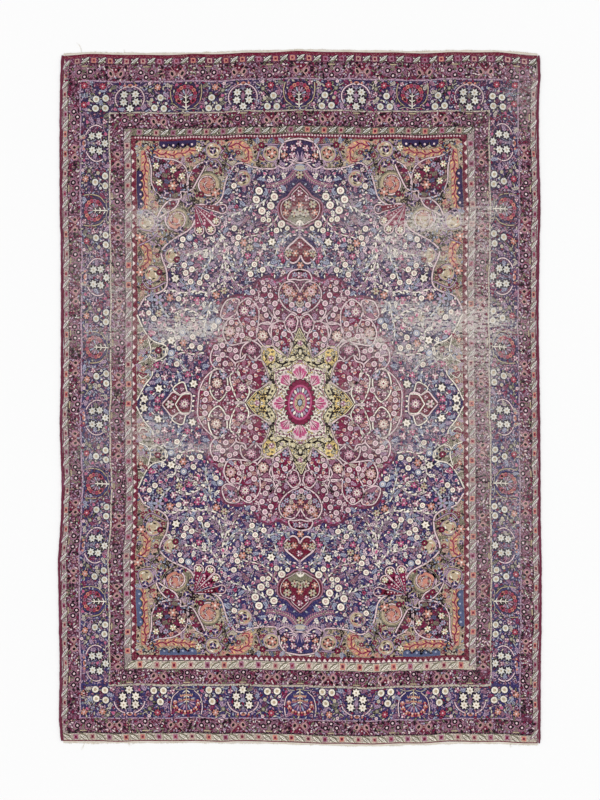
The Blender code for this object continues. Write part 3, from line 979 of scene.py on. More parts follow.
TEETH_PITCH = {"head": 2.9, "foot": 5.3, "left": 9.1, "right": 9.1}


def toothed_line(cartoon):
    """Pale dots at the head, and pale teeth along the sides and the foot."""
    for side in band_sides("teeth"):
        cartoon.stand_at(side.origin, side.along)
        length = 2 * (FIELD_HALF_LENGTH if side.lengthwise else FIELD_HALF_WIDTH + 2)
        pitch, depth = TEETH_PITCH[side.name], side.depth
        for n in range(int(length / pitch)):
            s = -length / 2 + (n + 0.5) * pitch
            if side.name == "head":
                cartoon.disc("blush", PANEL, s + 0.5j * depth, 1.0, 6)
            else:
                wide = min(2.7, 0.42 * pitch)
                tooth = np.array([-wide, -0.5, 0.5, wide]) + 1j * depth * np.array([1, 0.05, 0.05, 1])
                cartoon.lay("blush", PANEL, tooth, s)
                cartoon.lay("ivory", INSET, tooth * 0.6 + 0.38j * depth, s)
    cartoon.stand_at()


# ------------------------------------------------------------------ the field

# The field is charted for one quarter, counted from the middle of the medallion, and mirrored
# into the other three.
Patch = namedtuple("Patch", "dye edge")
Bunch = namedtuple("Bunch", "kind dye heart size places")

MEDALLION_EDGE = (
    131j, 11.5+125.5j, 22.5+119.5j, 31+123j, 41+119.5j, 50.5+104.5j, 64+104.5j, 77.5+99.5j, 81+85j,
    79.5+68.5j, 92.5+56.5j, 89.5+42j, 92.5+29.5j, 102.5+19j, 105+0j,
)
EAST_LOBE = (54.5+0j, 66+7j, 70.5+23.5j, 80+34.5j, 89+34.5j, 93+25j, 101.5+12.5j, 102+0j)
MEDALLION_LOOPS = (
    Patch("maroon", (55+1j, 51+12j, 59.5+24j, 61.5+30.5j, 70+27j, 67.5+12j, 61+1j)),
    Patch("plum", (75.5+8.5j, 82+2.5j, 90+11j, 90.5+25j, 84+35j, 74+28j, 73+15j)),
    Patch("maroon", (31+20.5j, 45.5+12j, 59.5+24j, 64.5+38j, 56+42j, 53.5+47.5j, 46+41.5j, 37.5+41j,
        32+28j)),
    Patch("plum", (39+47j, 46.5+41.5j, 53.5+47.5j, 59.5+43j, 58+54.5j, 48+60.5j, 39+54j)),
    Patch("maroon", (44+61.5j, 59.5+58.5j, 71.5+58j, 77+70j, 71.5+82j, 62+83j, 63+94j, 51.5+102j,
        41.5+91j, 42+74j)),
    Patch("mauve", (64+87j, 74.5+82.5j, 79.5+88j, 74+100.5j, 62+101j, 63+93j)),
    Patch("plum", (29+67j, 28+57.5j, 35.5+55j, 43+64j, 42+75.5j, 33+79.5j, 28.5+77j)),
    Patch("maroon", (12.5+44.5j, 25.5+53j, 28+62j, 31.5+71.5j, 27+77j, 16.5+79.5j, 7+63j, 10+52j)),
    Patch("maroon", (1.2+79.5j, 4+70j, 10+68.5j, 14+73j, 14+80j, 11+84.5j, 8+86.5j, 3.5+84j)),
    Patch("plum", (82j, 3.5+86.5j, 10+89.5j, 16.5+95j, 20.5+102j, 21+109j, 18+115j, 13+118j, 7+118j,
        2.5+113j, 107.5j)),
    Patch("maroon", (119.5j, 6+120.5j, 11.5+120j, 11.5+124j, 8+128.5j, 130.5j)),
)
MEDALLION_STRANDS = (
    (102+0j, 101.5+12.5j, 97+23j, 89+31.5j, 80+34.5j, 74+30j),
    (84+34j, 89.5+42j, 88.5+52j, 82+58.5j, 72+59.5j), (59.5+58.5j, 57.5+72j, 62+83j),
    (28.5+79j, 27+84j, 31.5+91j), (21.5+80j, 27.5+86j, 31.5+91j), (55+1j, 73.5+0.5j),
    (25+78.5j, 31.5+77.5j, 38.5+78j), (14.5+79.5j, 20.5+80.5j, 25+86j, 26.5+91j),
    (64.5+39j, 72.5+46j, 87.5+48j),
)
MEDALLION_BUNCHES = (
    Bunch("roundel", "blush", "rose", 0.86, (90j, 8+95.5j, 25+97.5j, 24.5+63j, 16+67j, 50+24.5j, 45+35.5j,
        74.5+39.5j, 81.5+44j, 70.5+53j, 78+57.5j, 84.5+55.5j, 49+67.5j, 58+66j, 47+78j, 35.5+92j,
        29.5+105.5j, 38.5+100.5j, 35.5+111j, 72.5+14.5j, 94.5+10j, 77.5+48j, 63.5+45j, 47.5+108j)),
    Bunch("fan", "blush", "coral", 5.6, (58.5+14.5j, 83.5+20.5j, 49+52j, 70+70.5j, 56+90j, 37.5+66j,
        8.5+77.5j, 11+109j)),
    Bunch("petals", "sky", "blush", 3.8, (35+23.5j, 15+51.5j, 70+93j, 47.5+88j, 76.5+27.5j)),
    Bunch("bud", "blush", "coral", 2.6, (43.5+26.5j, 18.5+58.5j, 63.5+78j, 67+100.5j, 78.5+11.5j,
        55.5+30.5j, 22.5+70.5j, 56.5+77j, 11.5+60.5j, 30.5+114.5j, 66+18j, 91+16j)),
    Bunch("petals", "blush", "maroon", 3.4, (68.5+0.5j, 85.5+0.5j, 124.5j, 53.5+33j, 66.5+33j)),
    Bunch("petals", "coral", "blush", 3.4, (101.5j, 6+106j, 14.5+113.5j)),
    Bunch("petals", "sky", "maroon", 2.8, (14+99.5j, 17.5+104j, 5+125j, 4.5+91.5j)),
)
STAR_EDGE = (
    53.5+0j, 45.5+9.5j, 38.5+14.5j, 31+20j, 32+26.5j, 34.5+34.5j, 37.5+41j, 39+54.5j, 33.5+56j, 27.5+55j,
    21+51j, 12.5+44.5j, 11+51j, 7.5+58.5j, 3.5+65.5j, 72.5j,
)
IVORY_EDGE = (32.5+0j, 27.5+5j, 23+13.5j, 25.5+21.5j, 25+30.5j, 19.5+34j, 11+35.5j, 6.5+39j, 43j)
STAR_YELLOWS = (
    (53.5+0j, 45.5+9.5j, 38.5+14j, 33+8j, 35+0j), (25+40j, 31+37j, 37+41j, 39+53j, 33.5+56j, 26+53j),
)
STAR_CURLS = (
    (30+15j, 33+9.5j, 38+8j, 42+10.5j), (26+19j, 29.5+24j, 27.5+30j), (28+31j, 31.5+36j, 28+40j),
    (12+40j, 18+38j, 24+41j, 23+47j), (1+54j, 4+47j, 10+46j), (2+60j, 6+56j, 8+61j),
    (31+50j, 35+47j, 33+42j), (34+3j, 37+6j, 41+4j),
)
STAR_BUNCHES = (
    Bunch("petals", "blush", "maroon", 3.1, (42.8+0j, 29+43.5j, 58j)),
    Bunch("petals", "olive", "saffron", 2.4, (48+0j, 42.5+6.2j, 33.5+49j, 4.8+50.5j, 65j, 38+12j)),
    Bunch("petals", "sand", "olive", 2.0, (25+33j, 19+42j, 30+20j, 9+57j, 35.5+53j)),
)
# Fans of the star: where each grows from, its length and its half spread
Fan = namedtuple("Fan", "root length spread")
STAR_FANS = (Fan(13.5+0j, 13.0, 0.62), Fan(10.5+17.5j, 12.5, 0.52), Fan(21.5j, 15.0, 0.55))

FIELD_BUNCHES = (
    Bunch("roundel", "ivory", "clay", 0.86, (100.5+118.5j, 109.5+119.5j, 93.5+124.5j, 114.5+128j,
        108.5+131.5j, 61.5+162j, 65.5+171j, 23.5+168.5j, 49+125.5j, 37+130j, 45.5+135j, 117.5+161j,
        100.5+54.5j, 107.5+65j, 123.5+39j, 146.5+84j, 85.5+76j)),
    Bunch("roundel", "ivory", "clay", 1.12, (18.5+174.5j, 38.5+188j, 29.5+193j, 25.5+201.5j, 44+198.5j,
        40.5+207j)),
    Bunch("roundel", "sky", "ivory", 1.0, (81.5+81j, 110.5+162.5j, 129.5+50j, 117.5+69.5j)),
    Bunch("star", "ivory", "gold", 4.4, (124.5+123j, 141.5+15j, 156+4.5j, 28.5+157.5j, 129.5+62.5j,
        107+19.5j)),
    Bunch("petals", "magenta", "blush", 3.5, (19.5+143.5j, 52.5+143.5j, 100.5+142.5j, 103.5+101.5j,
        149.5+69.5j, 112.5+28.5j, 143.5+38j, 112.5+83j, 142.5+4j)),
    Bunch("petals", "rose", "ivory", 3.7, (102.5+33j, 104.5+76j, 135.5+26.5j, 127.5+93j, 158.5+88j,
        40.5+146.5j, 115.5+101.5j, 153.5+97.5j, 93.5+158.5j)),
    Bunch("petals", "coral", "blush", 3.9, (117.5+59.5j, 84.5+106.5j, 130.5+104.5j, 56.5+156.5j)),
    Bunch("bud", "blush", "magenta", 3.0, (140.5+80j, 44.5+159.5j, 147+70j, 103+74j, 118+87j, 103+98j,
        76+150j)),
    Bunch("petals", "gold", "maroon", 3.6, (141.5+89j, 122.5+84j, 50.5+151.5j, 76.5+110.5j, 12.5+145.5j)),
    Bunch("petals", "sky", "olive", 5.6, (142+102j,)),
)
FIELD_VINES = (
    (77.5+166j, 75.5+139.5j, 75.5+111.5j), (74.5+144.5j, 62+130.5j, 40.5+130j),
    (73.5+132j, 58.5+111.5j, 51.5+115.5j), (76.5+137j, 81.5+125j, 92.5+110.5j),
    (89.5+153.5j, 93.5+134j, 101.5+119j), (93.5+134j, 104.5+130j, 114.5+128j),
    (84.5+111.5j, 100.5+109.5j, 133.5+111j), (40.5+130j, 30.5+134j, 10.5+132j),
    (22.5+183.5j, 35.5+167j, 40.5+166j, 57.5+159.5j), (34.5+198.5j, 52.5+190.5j, 71.5+183.5j),
    (88.5+99.5j, 94.5+82j, 94.5+65.5j), (95.5+80j, 110.5+80j, 116.5+77j),
    (95.5+81j, 107.5+92j, 125.5+90j), (108.5+26.5j, 113.5+34j, 128.5+47j),
    (96.5+49j, 115.5+49j, 126.5+47.5j), (126.5+54.5j, 124.5+70j, 122.5+84j),
    (10.5+165j, 17.5+159.5j, 26.5+144.5j), (133.5+44j, 140.5+38j, 147.5+33j),
    (76.5+163j, 92.5+150.5j, 116.5+146.5j), (130.5+86j, 140.5+95j, 146.5+108.5j),
)
FIELD_FERNS = (
    (12.5+166j, -0.9, 18, "sky"), (26.5+183.5j, -1.1, 18, "rose"), (104.5+148.5j, -0.2, 18, "rose"),
    (102.5+82j, -0.25, 13, "ivory"), (52.5+205j, -2.0, 14, "lilac"), (45.5+171j, 0.6, 14, "lilac"),
    (64.5+140.5j, -2.2, 15, "lilac"), (80.5+129j, -0.9, 13, "lilac"), (66.5+121j, -2.0, 12, "lilac"),
    (112.5+110.5j, 1.0, 14, "sky"), (134.5+67.5j, 0.8, 14, "lilac"), (90.5+95j, -0.8, 11, "sky"),
    (50.5+182.5j, -0.9, 10, "rose"), (66.5+229.5j, -1.45, 22, "sky"), (126.5+137j, 2.3, 12, "sky"),
)

CORNER_EDGE = (
    19.5+258j, 21+237.5j, 25+229j, 45.5+230j, 61.5+234.5j, 72.5+222j, 78.5+201.5j, 88+194.5j,
    101.5+194.5j, 104.5+181j, 110.5+170.5j, 130.5+159.5j, 139.5+148j, 133.5+130j, 133.5+116j, 141.5+109j,
    155+104.5j, 163+92j,
)
SIDE_EDGE = (163.5+87j, 156+71.5j, 148+62j, 135.5+57.5j, 134+49j, 146+40j, 148+28j, 156.5+16.5j, 163.5+3j)
SHIELD = (
    153+248j, 148.5+232j, 147+214j, 137.5+203j, 119.5+201j, 118.5+208j, 111.5+209j, 113.5+229.5j,
    125+239j, 141.5+241.5j,
)
# Long dark leaves beside the shield and the spirals
CORNER_LEAVES = (
    (111.5+208j, 106.5+211j, 102+219j, 94.5+235.5j, 102.5+233.5j, 108.5+226.5j, 112+217j),
    (120.5+199.5j, 124.5+193j, 132.5+188.5j, 142.5+182.5j, 139.5+190.5j, 133.5+197.5j, 127.5+200.5j),
)
CORNER_SPIRALS = (123.5+181j, 91.5+215j)
CORNER_RINGS = (56.5+219j, 28.5+243.5j, 128+145.5j, 153.5+178j, 85.5+248j, 147.5+127j)
CORNER_BANDS = (
    (152.5+250j, 140.5+246j, 125.5+244.5j, 110.5+247j, 100.5+249j),
    (153.5+248j, 154.5+231.5j, 155.5+216j, 154.5+203j, 156.5+190.5j),
    (70.5+252j, 60.5+253j, 52.5+248j, 50.5+238.5j, 57.5+235.5j),
    (159.5+159.5j, 153.5+151.5j, 152.5+141.5j, 156.5+133j),
)
CORNER_STRANDS = (
    (104.5+193.5j, 110.5+200.5j, 112+208j), (101.5+194.5j, 114.5+197.5j, 119.5+201j),
    (94.5+235.5j, 83.5+239.5j, 74.5+225.5j), (142.5+182.5j, 155.5+189.5j, 160.5+173j, 146.5+169j),
    (67.5+230.5j, 79.5+242.5j, 68.5+255j), (20+252j, 36.5+252j, 42.5+238j),
    (138.5+152.5j, 146.5+163j, 142.5+168j), (132.5+120j, 149.5+112.5j, 157.5+121j, 155.5+131j),
    (143.5+166j, 152.5+159.5j, 161.5+155.5j), (118.5+167j, 133.5+176j, 131.5+187.5j),
)
CORNER_BUNCHES = (
    Bunch("petals", "coral", "ivory", 4.6, (126.5+214j, 27.5+243.5j, 84.5+207j, 159.5+129j, 160.5+163j)),
    Bunch("petals", "ivory", "coral", 3.4, (140+217j, 117.5+223j, 126.5+229.5j, 143.5+233.5j,
        100.5+249.5j)),
    Bunch("petals", "indigo", "ivory", 3.3, (133.5+207j, 119.5+171j, 107.5+182.5j, 141.5+180j, 138.5+173j,
        153.5+185.5j, 92.5+197.5j, 84.5+233.5j, 93.5+236.5j, 56.5+219j, 68.5+240.5j, 86.5+248j,
        112.5+195.5j)),
    Bunch("petals", "sky", "maroon", 3.0, (141.5+224.5j, 70.5+226.5j, 124.5+151.5j, 150.5+119j,
        133.5+233.5j)),
    Bunch("petals", "maroon", "gold", 3.2, (131.5+192.5j, 124+141.5j, 98.5+205j, 37.5+252j, 140.5+129j)),
)
DROP_ROOT = 105.5+194.5j
Drop = namedtuple("Drop", "at dye flower heart")
DROPS = (
    Drop(78+190.5j, "wine", "indigo", "ivory"), Drop(84+179j, "maroon", "ivory", "coral"),
    Drop(89+170.5j, "maroon", "ivory", "gold"), Drop(100.5+169.5j, "maroon", "ivory", "gold"),
)


FILL_CELL = 7.0


def fill(cartoon, dye, level, edge, strip=1.5):
    """A ground of any outline, cut into strips and cells that follow the pile."""
    edge = np.array(edge)
    low, high = edge.imag.min(), edge.imag.max()
    levels = np.linspace(low, high, max(2, int((high - low) / strip)))
    for y0, y1 in zip(levels, levels[1:]):
        middle, half = (y0 + y1) / 2, (y1 - y0) / 2
        crossings = []
        for a, b in zip(edge, np.roll(edge, -1)):
            if (a.imag > middle) != (b.imag > middle):
                slope = (b.real - a.real) / (b.imag - a.imag)
                crossings.append((a.real + slope * (middle - a.imag), max(-3, min(3, slope))))
        crossings.sort()
        for (x0, s0), (x1, s1) in zip(crossings[::2], crossings[1::2]):
            count = max(1, int((x1 - x0) / FILL_CELL))
            low_x = np.linspace(x0 - s0 * half, x1 - s1 * half, count + 1)
            high_x = np.linspace(x0 + s0 * half, x1 + s1 * half, count + 1)
            faces = [(k, k + 1, count + 2 + k, count + 1 + k) for k in range(count)]
            cartoon.add(dye, level, np.concatenate([low_x + 1j * y0, high_x + 1j * y1]), faces)


def closed(points):
    """A smooth path round a charted edge, left open where the edge lies on the long axis."""
    on_axis = points[0].real < 1 and points[-1].real < 1
    return curve(points if on_axis else [*points, points[0]])


def put_bunches(cartoon, bunches, backing="night"):
    """Sets the charted flowers of each kind."""
    for kind, dye, heart, size, places in bunches:
        for n, at in enumerate(places):
            cartoon.mirror_from(at)
            if kind == "roundel":
                roundel(cartoon, at, size, dye, heart)
            elif kind == "star":
                star_flower(cartoon, at, size, heart, 6, dye)
            elif kind == "fan":
                daisy(cartoon, at, size, ("rose", "clay")[n % 2], ("ivory", "blush")[n // 2 % 2], n)
            elif kind == "bud":
                bud(cartoon, at, size, dye, heart, 1.9 * n)
            else:
                blossom(cartoon, at, size, 6, dye, heart, 0.7 * n if at.real > 1 else 0, backing)
    cartoon.mirrors = QUARTERS


def leafy_vine(cartoon, points, dye, leaves):
    """A stem with small leaves along both of its sides. Gives back its stations."""
    path = curve(points)
    across = 1j * (path[-1] - path[0]) / abs(path[-1] - path[0])
    path = path + across * np.sin(0.42 * np.arange(len(path)) + points[0].real)
    cartoon.line(dye, path, 1.7, 1.7, 0.7)
    for n in range(1, len(path) - 1, 2):
        heading = phase(path[n + 1] - path[n - 1])
        side = 1 if n // 2 % 2 else -1
        length = 4.4 + 0.8 * math.sin(1.7 * n)
        leaf(cartoon, path[n], heading + side * 0.65, length, 1.8, leaves[n // 2 % len(leaves)])
        if n % 6 == 3:
            turn, frond = heading - side * 0.8, leaves[n % len(leaves)]
            fern(cartoon, path[n], turn, 8.5, frond, dye, 0.4 * side, 3, 3.4)
    return path


def medallion_star(cartoon):
    """The star in the medallion's middle: saffron points, an ivory star and pink fans."""
    fill(cartoon, "straw", INSET, STAR_EDGE + (0j,))
    for edge in STAR_YELLOWS:
        fill(cartoon, "saffron", INSET + 0.5, edge)
    cartoon.line("straw", curve(STAR_EDGE), 0.9, 1.3)
    put_bunches(cartoon, STAR_BUNCHES, "olive")
    for points in STAR_CURLS:
        path = curve(points, 1.2)
        cartoon.stroke("night", LEAF, path, 1.9, 0.5)
        for n in range(1, len(path) - 1, 3):
            turn = phase(path[n + 1] - path[n]) + (0.9 if n % 2 else -0.9)
            leaf(cartoon, path[n], turn, 3.0, 1.5, "night")
    fill(cartoon, "ivory", STEM, IVORY_EDGE + (0j,))
    cartoon.stroke("night", LEAF, curve(IVORY_EDGE) * 1.03, 0.8)
    cartoon.stroke("rose", LEAF, curve(IVORY_EDGE) * 0.94, 0.8)
    for root, length, spread in STAR_FANS:
        cartoon.mirror_from(root)
        turn = phase(complex(root.real, root.imag * 0.75))
        cartoon.lay("blush", LEAF, rounded(length * 1.12, length * 1.05), root, turn)
        for swing in np.linspace(-spread, spread, 5):
            reach = length * (1 - 0.35 * abs(swing))
            cartoon.lay("magenta", BACKING, rounded(reach, length * 0.26), root, turn + swing)
            cartoon.lay("blush", PETAL, pointed(reach * 0.8, 0.9), root, turn + swing + 0.12)
        cartoon.lay("wine", HEART, pointed(length * 0.85, 1.0), root, turn)
        cartoon.claim(root + rect(length * 0.6, turn), length * 0.45)
    cartoon.mirrors = QUARTERS


def rosette(cartoon, half_width, half_length):
    """The oval rosette at the very middle, ring inside ring."""
    def way(n, count):
        turn = 2 * np.pi * n / count
        return complex(half_width * math.cos(turn), half_length * math.sin(turn))

    def ring(dye, level, share, count=28):
        cartoon.lay(dye, level, oval(2 * half_width * share, 2 * half_length * share, count))

    def spokes(count, start, end, dyes, level, width):
        for n in range(count):
            spoke = way(n, count)
            shape = pointed(abs(spoke) * (end - start), width)
            cartoon.lay(dyes[n % len(dyes)], level, shape, spoke * start, phase(spoke))

    for n in range(24):
        bead = complex(way(n, 24).real * 0.9, way(n, 24).imag * 0.94)
        cartoon.discs(bead, ("night", PETAL, 2.7, 8), ("maroon", HEART, 2.0, 8))
    ring("maroon", DOT, 0.88)
    ring("magenta", DOT + 0.4, 0.80)
    ring("plum", DOT + 0.8, 0.70)
    spokes(20, 0.44, 0.70, ("sky", "ivory", "lilac"), DOT + 1.2, 2.4)
    ring("magenta", DOT + 1.6, 0.46)
    ring("gold", DOT + 2.0, 0.37, 18)
    spokes(12, 0.17, 0.36, ("coral", "maroon"), DOT + 2.4, 0.9)
    ring("night", DOT + 2.8, 0.19, 12)
    ring("sky", DOT + 3.2, 0.14, 10)


def medallion(cartoon):
    """The lobed medallion: pale interlaced loops round red and plum grounds. Gives back its stems."""
    fill(cartoon, "plum", GROUND, MEDALLION_EDGE + (0j,), 2.4)
    fill(cartoon, "maroon", PANEL, EAST_LOBE)
    edge = curve(MEDALLION_EDGE, 1.5)
    cartoon.stroke("plum", PANEL, edge, 3.6)
    for n, at in enumerate(edge):
        cartoon.disc(("lilac", "magenta")[n // 2 % 2], INSET, at * 0.985, 1.1 if n % 2 else 0.8, 6)
        cartoon.claim(at, 1.6)
    stations = []
    for dye, points in MEDALLION_LOOPS:
        fill(cartoon, dye, INSET, points)
        stations.extend(closed(points))
        near_star = points[0].real > 48 and points[0].imag < 40
        cartoon.line("ivory" if near_star else "blush", closed(points), 1.35, 1.1)
    for points in MEDALLION_STRANDS:
        stations.extend(curve(points))
        cartoon.line("blush", curve(points), 1.35, 1.1)
    put_bunches(cartoon, MEDALLION_BUNCHES)
    return stations


def feather(cartoon, points, dye, reach):
    """A curved plume of long leaves."""
    path = curve(points, 2.2)
    cartoon.line("sand", path, 0.7, 0.7, 0.6)
    for n, station in enumerate(path[:-1]):
        heading = phase(path[n + 1] - station)
        for side in (-1, 1):
            leaf(cartoon, station, heading + side * 0.75, reach * (1 - 0.35 * n / len(path)), 1.5, dye)


PENDANT_HEART = (162j, 6.5+156.5j, 13.5+150.5j, 15.5+144.5j, 12.5+139j, 7.5+136j, 3+138j, 143.5j)
CARTOUCHE = (
    170j, 5.5+170.5j, 10.5+174j, 17.5+177.5j, 21.5+183.5j, 22.5+191.5j, 19.5+197.5j, 12.5+201j, 7.5+207j,
    214j,
)
NICHE = (257j, 7.5+256j, 14.5+254j, 19.5+247j, 21+237.5j, 21.5+231.5j, 13.5+228.5j, 6.5+233.5j, 233.5j)
PENDANT_BUNCHES = (
    Bunch("petals", "coral", "ivory", 3.6, (5.5+145.5j, 15.5+241j, 14.5+185.5j, 192.5j, 134j)),
    Bunch("petals", "rose", "blush", 3.4, (6.5+248j, 252j, 7.5+241j)),
    Bunch("petals", "blush", "maroon", 3.3, (7+199.5j, 204.5j, 13.5+237.5j, 153.5j, 14.5+248j)),
    Bunch("petals", "gold", "maroon", 4.0, (12.5+193.5j, 5.5+184.5j, 186j, 222j)),
    Bunch("roundel", "ivory", "gold", 0.7, (31.5+179j, 12.5+170j)),
)


Plume = namedtuple("Plume", "points dye reach")
PLUMES = (
    Plume((3.5+226.5j, 9.5+219j, 19.5+214j, 33.5+212j), "rose", 5.0),
    Plume((4.5+231.5j, 11.5+227.5j, 19.5+225.5j), "lilac", 3.8),
    Plume((13.5+150.5j, 8.5+147.5j, 3.5+148.5j), "blush", 2.2),
)


def pendants(cartoon):
    """On the long axis: a heart, a cartouche, a small vase with plumes, and the niche."""
    for dye, edge, rim in (("wine", PENDANT_HEART, "blush"), ("wine", CARTOUCHE, "rose"),
                           ("indigo", NICHE, "blush")):
        fill(cartoon, dye, PANEL, edge)
        cartoon.line(rim, curve(edge), 1.5, 1.2)
    cartoon.line("blush", curve([p * 0.86 + 0.14 * 191j for p in CARTOUCHE]), 0.7, 0.6)
    fill(cartoon, "olive", INSET, [complex(p.real * 0.55, 171.5 + (p.imag - 170) * 0.38) for p in CARTOUCHE])
    put_bunches(cartoon, PENDANT_BUNCHES)
    for plume in PLUMES:
        feather(cartoon, *plume)
    for angle in np.linspace(0.1, 1.35, 6):
        dye = "blush" if angle < 0.9 else "lilac"
        cartoon.lay(dye, STEM, pointed(9.5, 1.3), 233.5j + rect(2.5, angle), angle)
    cartoon.mirror_from(229j)
    feather(cartoon, (172j, 159.5j), "lilac", 3.0)
    for swing in (-0.7, 0, 0.7):
        cartoon.lay("ivory", STEM, pointed(6.5, 2.0), 178j, -np.pi / 2 + swing)
    for dye, level, width, height in (("night", SHADE, 16, 8.4), ("sky", STEM, 14.6, 7.0),
                                      ("sand", LEAF, 11, 4.4)):
        cartoon.lay(dye, level, oval(width, height, 14), 229j)
    cartoon.mirrors = QUARTERS
    for at, radius in ((147j, 16), (191j, 22), (225j, 12), (243j, 16)):
        cartoon.claim(at, radius)


def corner_band(cartoon, points):
    """A coral band between olive rims, with a red wave and small leaves along it."""
    path = curve(points, 2.0)
    cartoon.stroke("olive", PANEL, path, 10.4, 0.7)
    cartoon.stroke("coral", INSET, path, 9.0, 0.7)
    across = np.exp(1j * np.pi / 2) * np.gradient(path) / abs(np.gradient(path))
    cartoon.stroke("maroon", SHADE, path + across * np.sin(np.arange(len(path)) * 1.1), 1.5, 0.6)
    for n, station in enumerate(path[1:-1]):
        heading = phase(path[n + 2] - path[n])
        dye = ("maroon", "saffron", "clay", "gold")[n % 4]
        for side in (-1, 1):
            root = station + rect(1.0, heading + side * 1.57)
            cartoon.lay(dye, STEM, pointed(3.6, 1.3), root, heading + side * 0.8)
        cartoon.claim(station, 5.2)


def corner_spiral(cartoon, centre):
    """A coral rosette inside a pale spiral."""
    cartoon.discs(centre, ("night", PANEL, 13.2, 20), ("olive", INSET, 12.4, 20),
                  ("gold", INSET + 0.5, 10.8, 20))
    cartoon.disc("coral", SHADE - 0.3, centre + 1.2 - 1j, 8.2, 20)
    for n in range(5):
        cartoon.disc("clay", SHADE, centre + rect(4.6, 1.26 * n), 2.1)
    start_deg, hand = (200, 1) if centre.real < 100 else (20, -1)
    scroll(cartoon, centre, 12.0, start_deg, hand)
    for n in range(11):
        turn = 0.63 * n
        outer, inner = rect(8.6 - 0.45 * n, turn), rect(6.0 - 0.3 * n, turn + 0.3)
        cartoon.lay(("maroon", "olive")[n % 2], LEAF, pointed(3.8, 1.5), centre + outer, turn + 1.9)
        cartoon.lay(("gold", "maroon")[n % 2], BACKING, pointed(3.0, 1.1), centre + inner, turn)
    cartoon.claim(centre, 12.6)


def corner_ring(cartoon, centre):
    """A lilac ring round a whirl of small leaves."""
    cartoon.discs(centre, ("night", PANEL, 9.4, 14), ("lilac", INSET, 8.7, 14), ("gold", SHADE, 7.5, 14))
    for n in range(12):
        dye = ("night", "ivory", "coral", "maroon", "sand")[n % 5]
        root = centre + rect(6.2 - 0.25 * n, 0.8 * n)
        cartoon.lay(dye, STEM, pointed(4.0, 1.6), root, 0.8 * n + 1.9)
    cartoon.claim(centre, 8.6)


def corner_piece(cartoon):
    """One gold corner of the field: leafy bands, a plum shield, spirals, rings and a fan of drops."""
    field_corner = complex(FIELD_HALF_WIDTH, FIELD_HALF_LENGTH)
    fill(cartoon, "gold", GROUND, CORNER_EDGE[1:] + (field_corner, 258j), 2.4)
    for points in CORNER_BANDS:
        corner_band(cartoon, points)
    scallops(cartoon)
    for edge in (SHIELD, *CORNER_LEAVES):
        fill(cartoon, "plum", INSET, edge)
        cartoon.line("blush", closed(edge), 1.4, 1.2)
    for centre in CORNER_SPIRALS:
        corner_spiral(cartoon, centre)
    for centre in CORNER_RINGS:
        corner_ring(cartoon, centre)
    for points in CORNER_STRANDS:
        cartoon.line("lilac", curve(points), 1.3, 1.2)
    put_bunches(cartoon, CORNER_BUNCHES)
    drops(cartoon)
    cartoon.line("blush", curve(CORNER_EDGE[1:]), 1.6, 1.1)
    return inside(cartoon.garden.centres, CORNER_EDGE + (field_corner,))


def scallops(cartoon):
    """Rows of joined half rounds along the field's edge: slate at the foot, dark at the head."""
    half = 4.7
    for sign, dye, point in ((-1, "slate", "sky"), (1, "indigo", "blush")):
        cartoon.mirrors = ((1, sign), (-1, sign))
        for base, along, rise in ((102.5 + 257.8j, 1, -6.6j), (162.8 + 191j, 1j, -6.0)):
            for level, grow, colour in ((STEM, 1.15, "night"), (LEAF, 1.0, dye)):
                edge = [base]
                for n in range(4):
                    for angle in np.linspace(0, np.pi, 9):
                        foot = base + along * half * (2 * n + 1 - math.cos(angle))
                        edge.append(foot + grow * rise * (0.35 + 0.65 * math.sin(angle)))
                fill(cartoon, colour, level, edge + [base + along * half * 8])
            for n in range(4):
                at = base + along * half * (2 * n + 1)
                cartoon.disc(point, BACKING, at + rise * 0.62, 1.2, 6)
                cartoon.claim(at, 5.0)
    cartoon.mirrors = QUARTERS


def drops(cartoon):
    """The fan of wine-red drops at the corner's inner point."""
    for drop in DROPS:
        length, turn = abs(drop.at - DROP_ROOT), phase(drop.at - DROP_ROOT)
        for dye, radius, level in (("night", 5.9, SHADE), ("blush", 5.2, STEM), (drop.dye, 4.1, LEAF)):
            cartoon.lay(dye, level, teardrop(length + radius, 2 * radius), DROP_ROOT, turn)
        blossom(cartoon, drop.at, 3.4, 7, drop.flower, drop.heart)
        for k in range(4):
            cartoon.disc("blush", BACKING, DROP_ROOT + rect(8.5 + 3.2 * k, turn), 0.5 + 0.15 * k, 6)
        cartoon.claim(drop.at, 5.8)
        cartoon.claim(DROP_ROOT + rect(length * 0.5, turn), 4.0)


SIDE_BUD = (108.5+0j, 109.2+8.5j, 112.5+11.5j, 117.5+10.5j, 121+9j, 127.5+12j, 132.5+6.5j, 138+0j)
SIDE_BUNCHES = (
    Bunch("fan", "clay", "coral", 5.4, (115.5+0j,)), Bunch("petals", "sand", "maroon", 4.4, (130+0j,)),
    Bunch("petals", "blush", "maroon", 2.2, (125.5+6.5j, 118.5+14.5j)),
    Bunch("petals", "coral", "ivory", 2.8, (157.5+21.5j, 159.5+61.5j, 156.5+34j)),
    Bunch("petals", "maroon", "blush", 3.6, (142.5+52.5j,)),
)


SIDE_WINGLET = (113.5+12j, 117.5+21.5j, 127.5+15.5j, 121.5+9.5j)
SIDE_STRANDS = (
    (109.5+9.8j, 118+9j, 124.5+0j), SIDE_WINGLET, (134.5+56.5j, 136.5+47j, 142.5+43j, 149.5+45j, 151.5+52j),
    (161.5+40j, 153.5+44j, 150+52j, 152.5+63.5j), (151.5+28.5j, 157.5+24.5j, 161.5+28.5j),
)


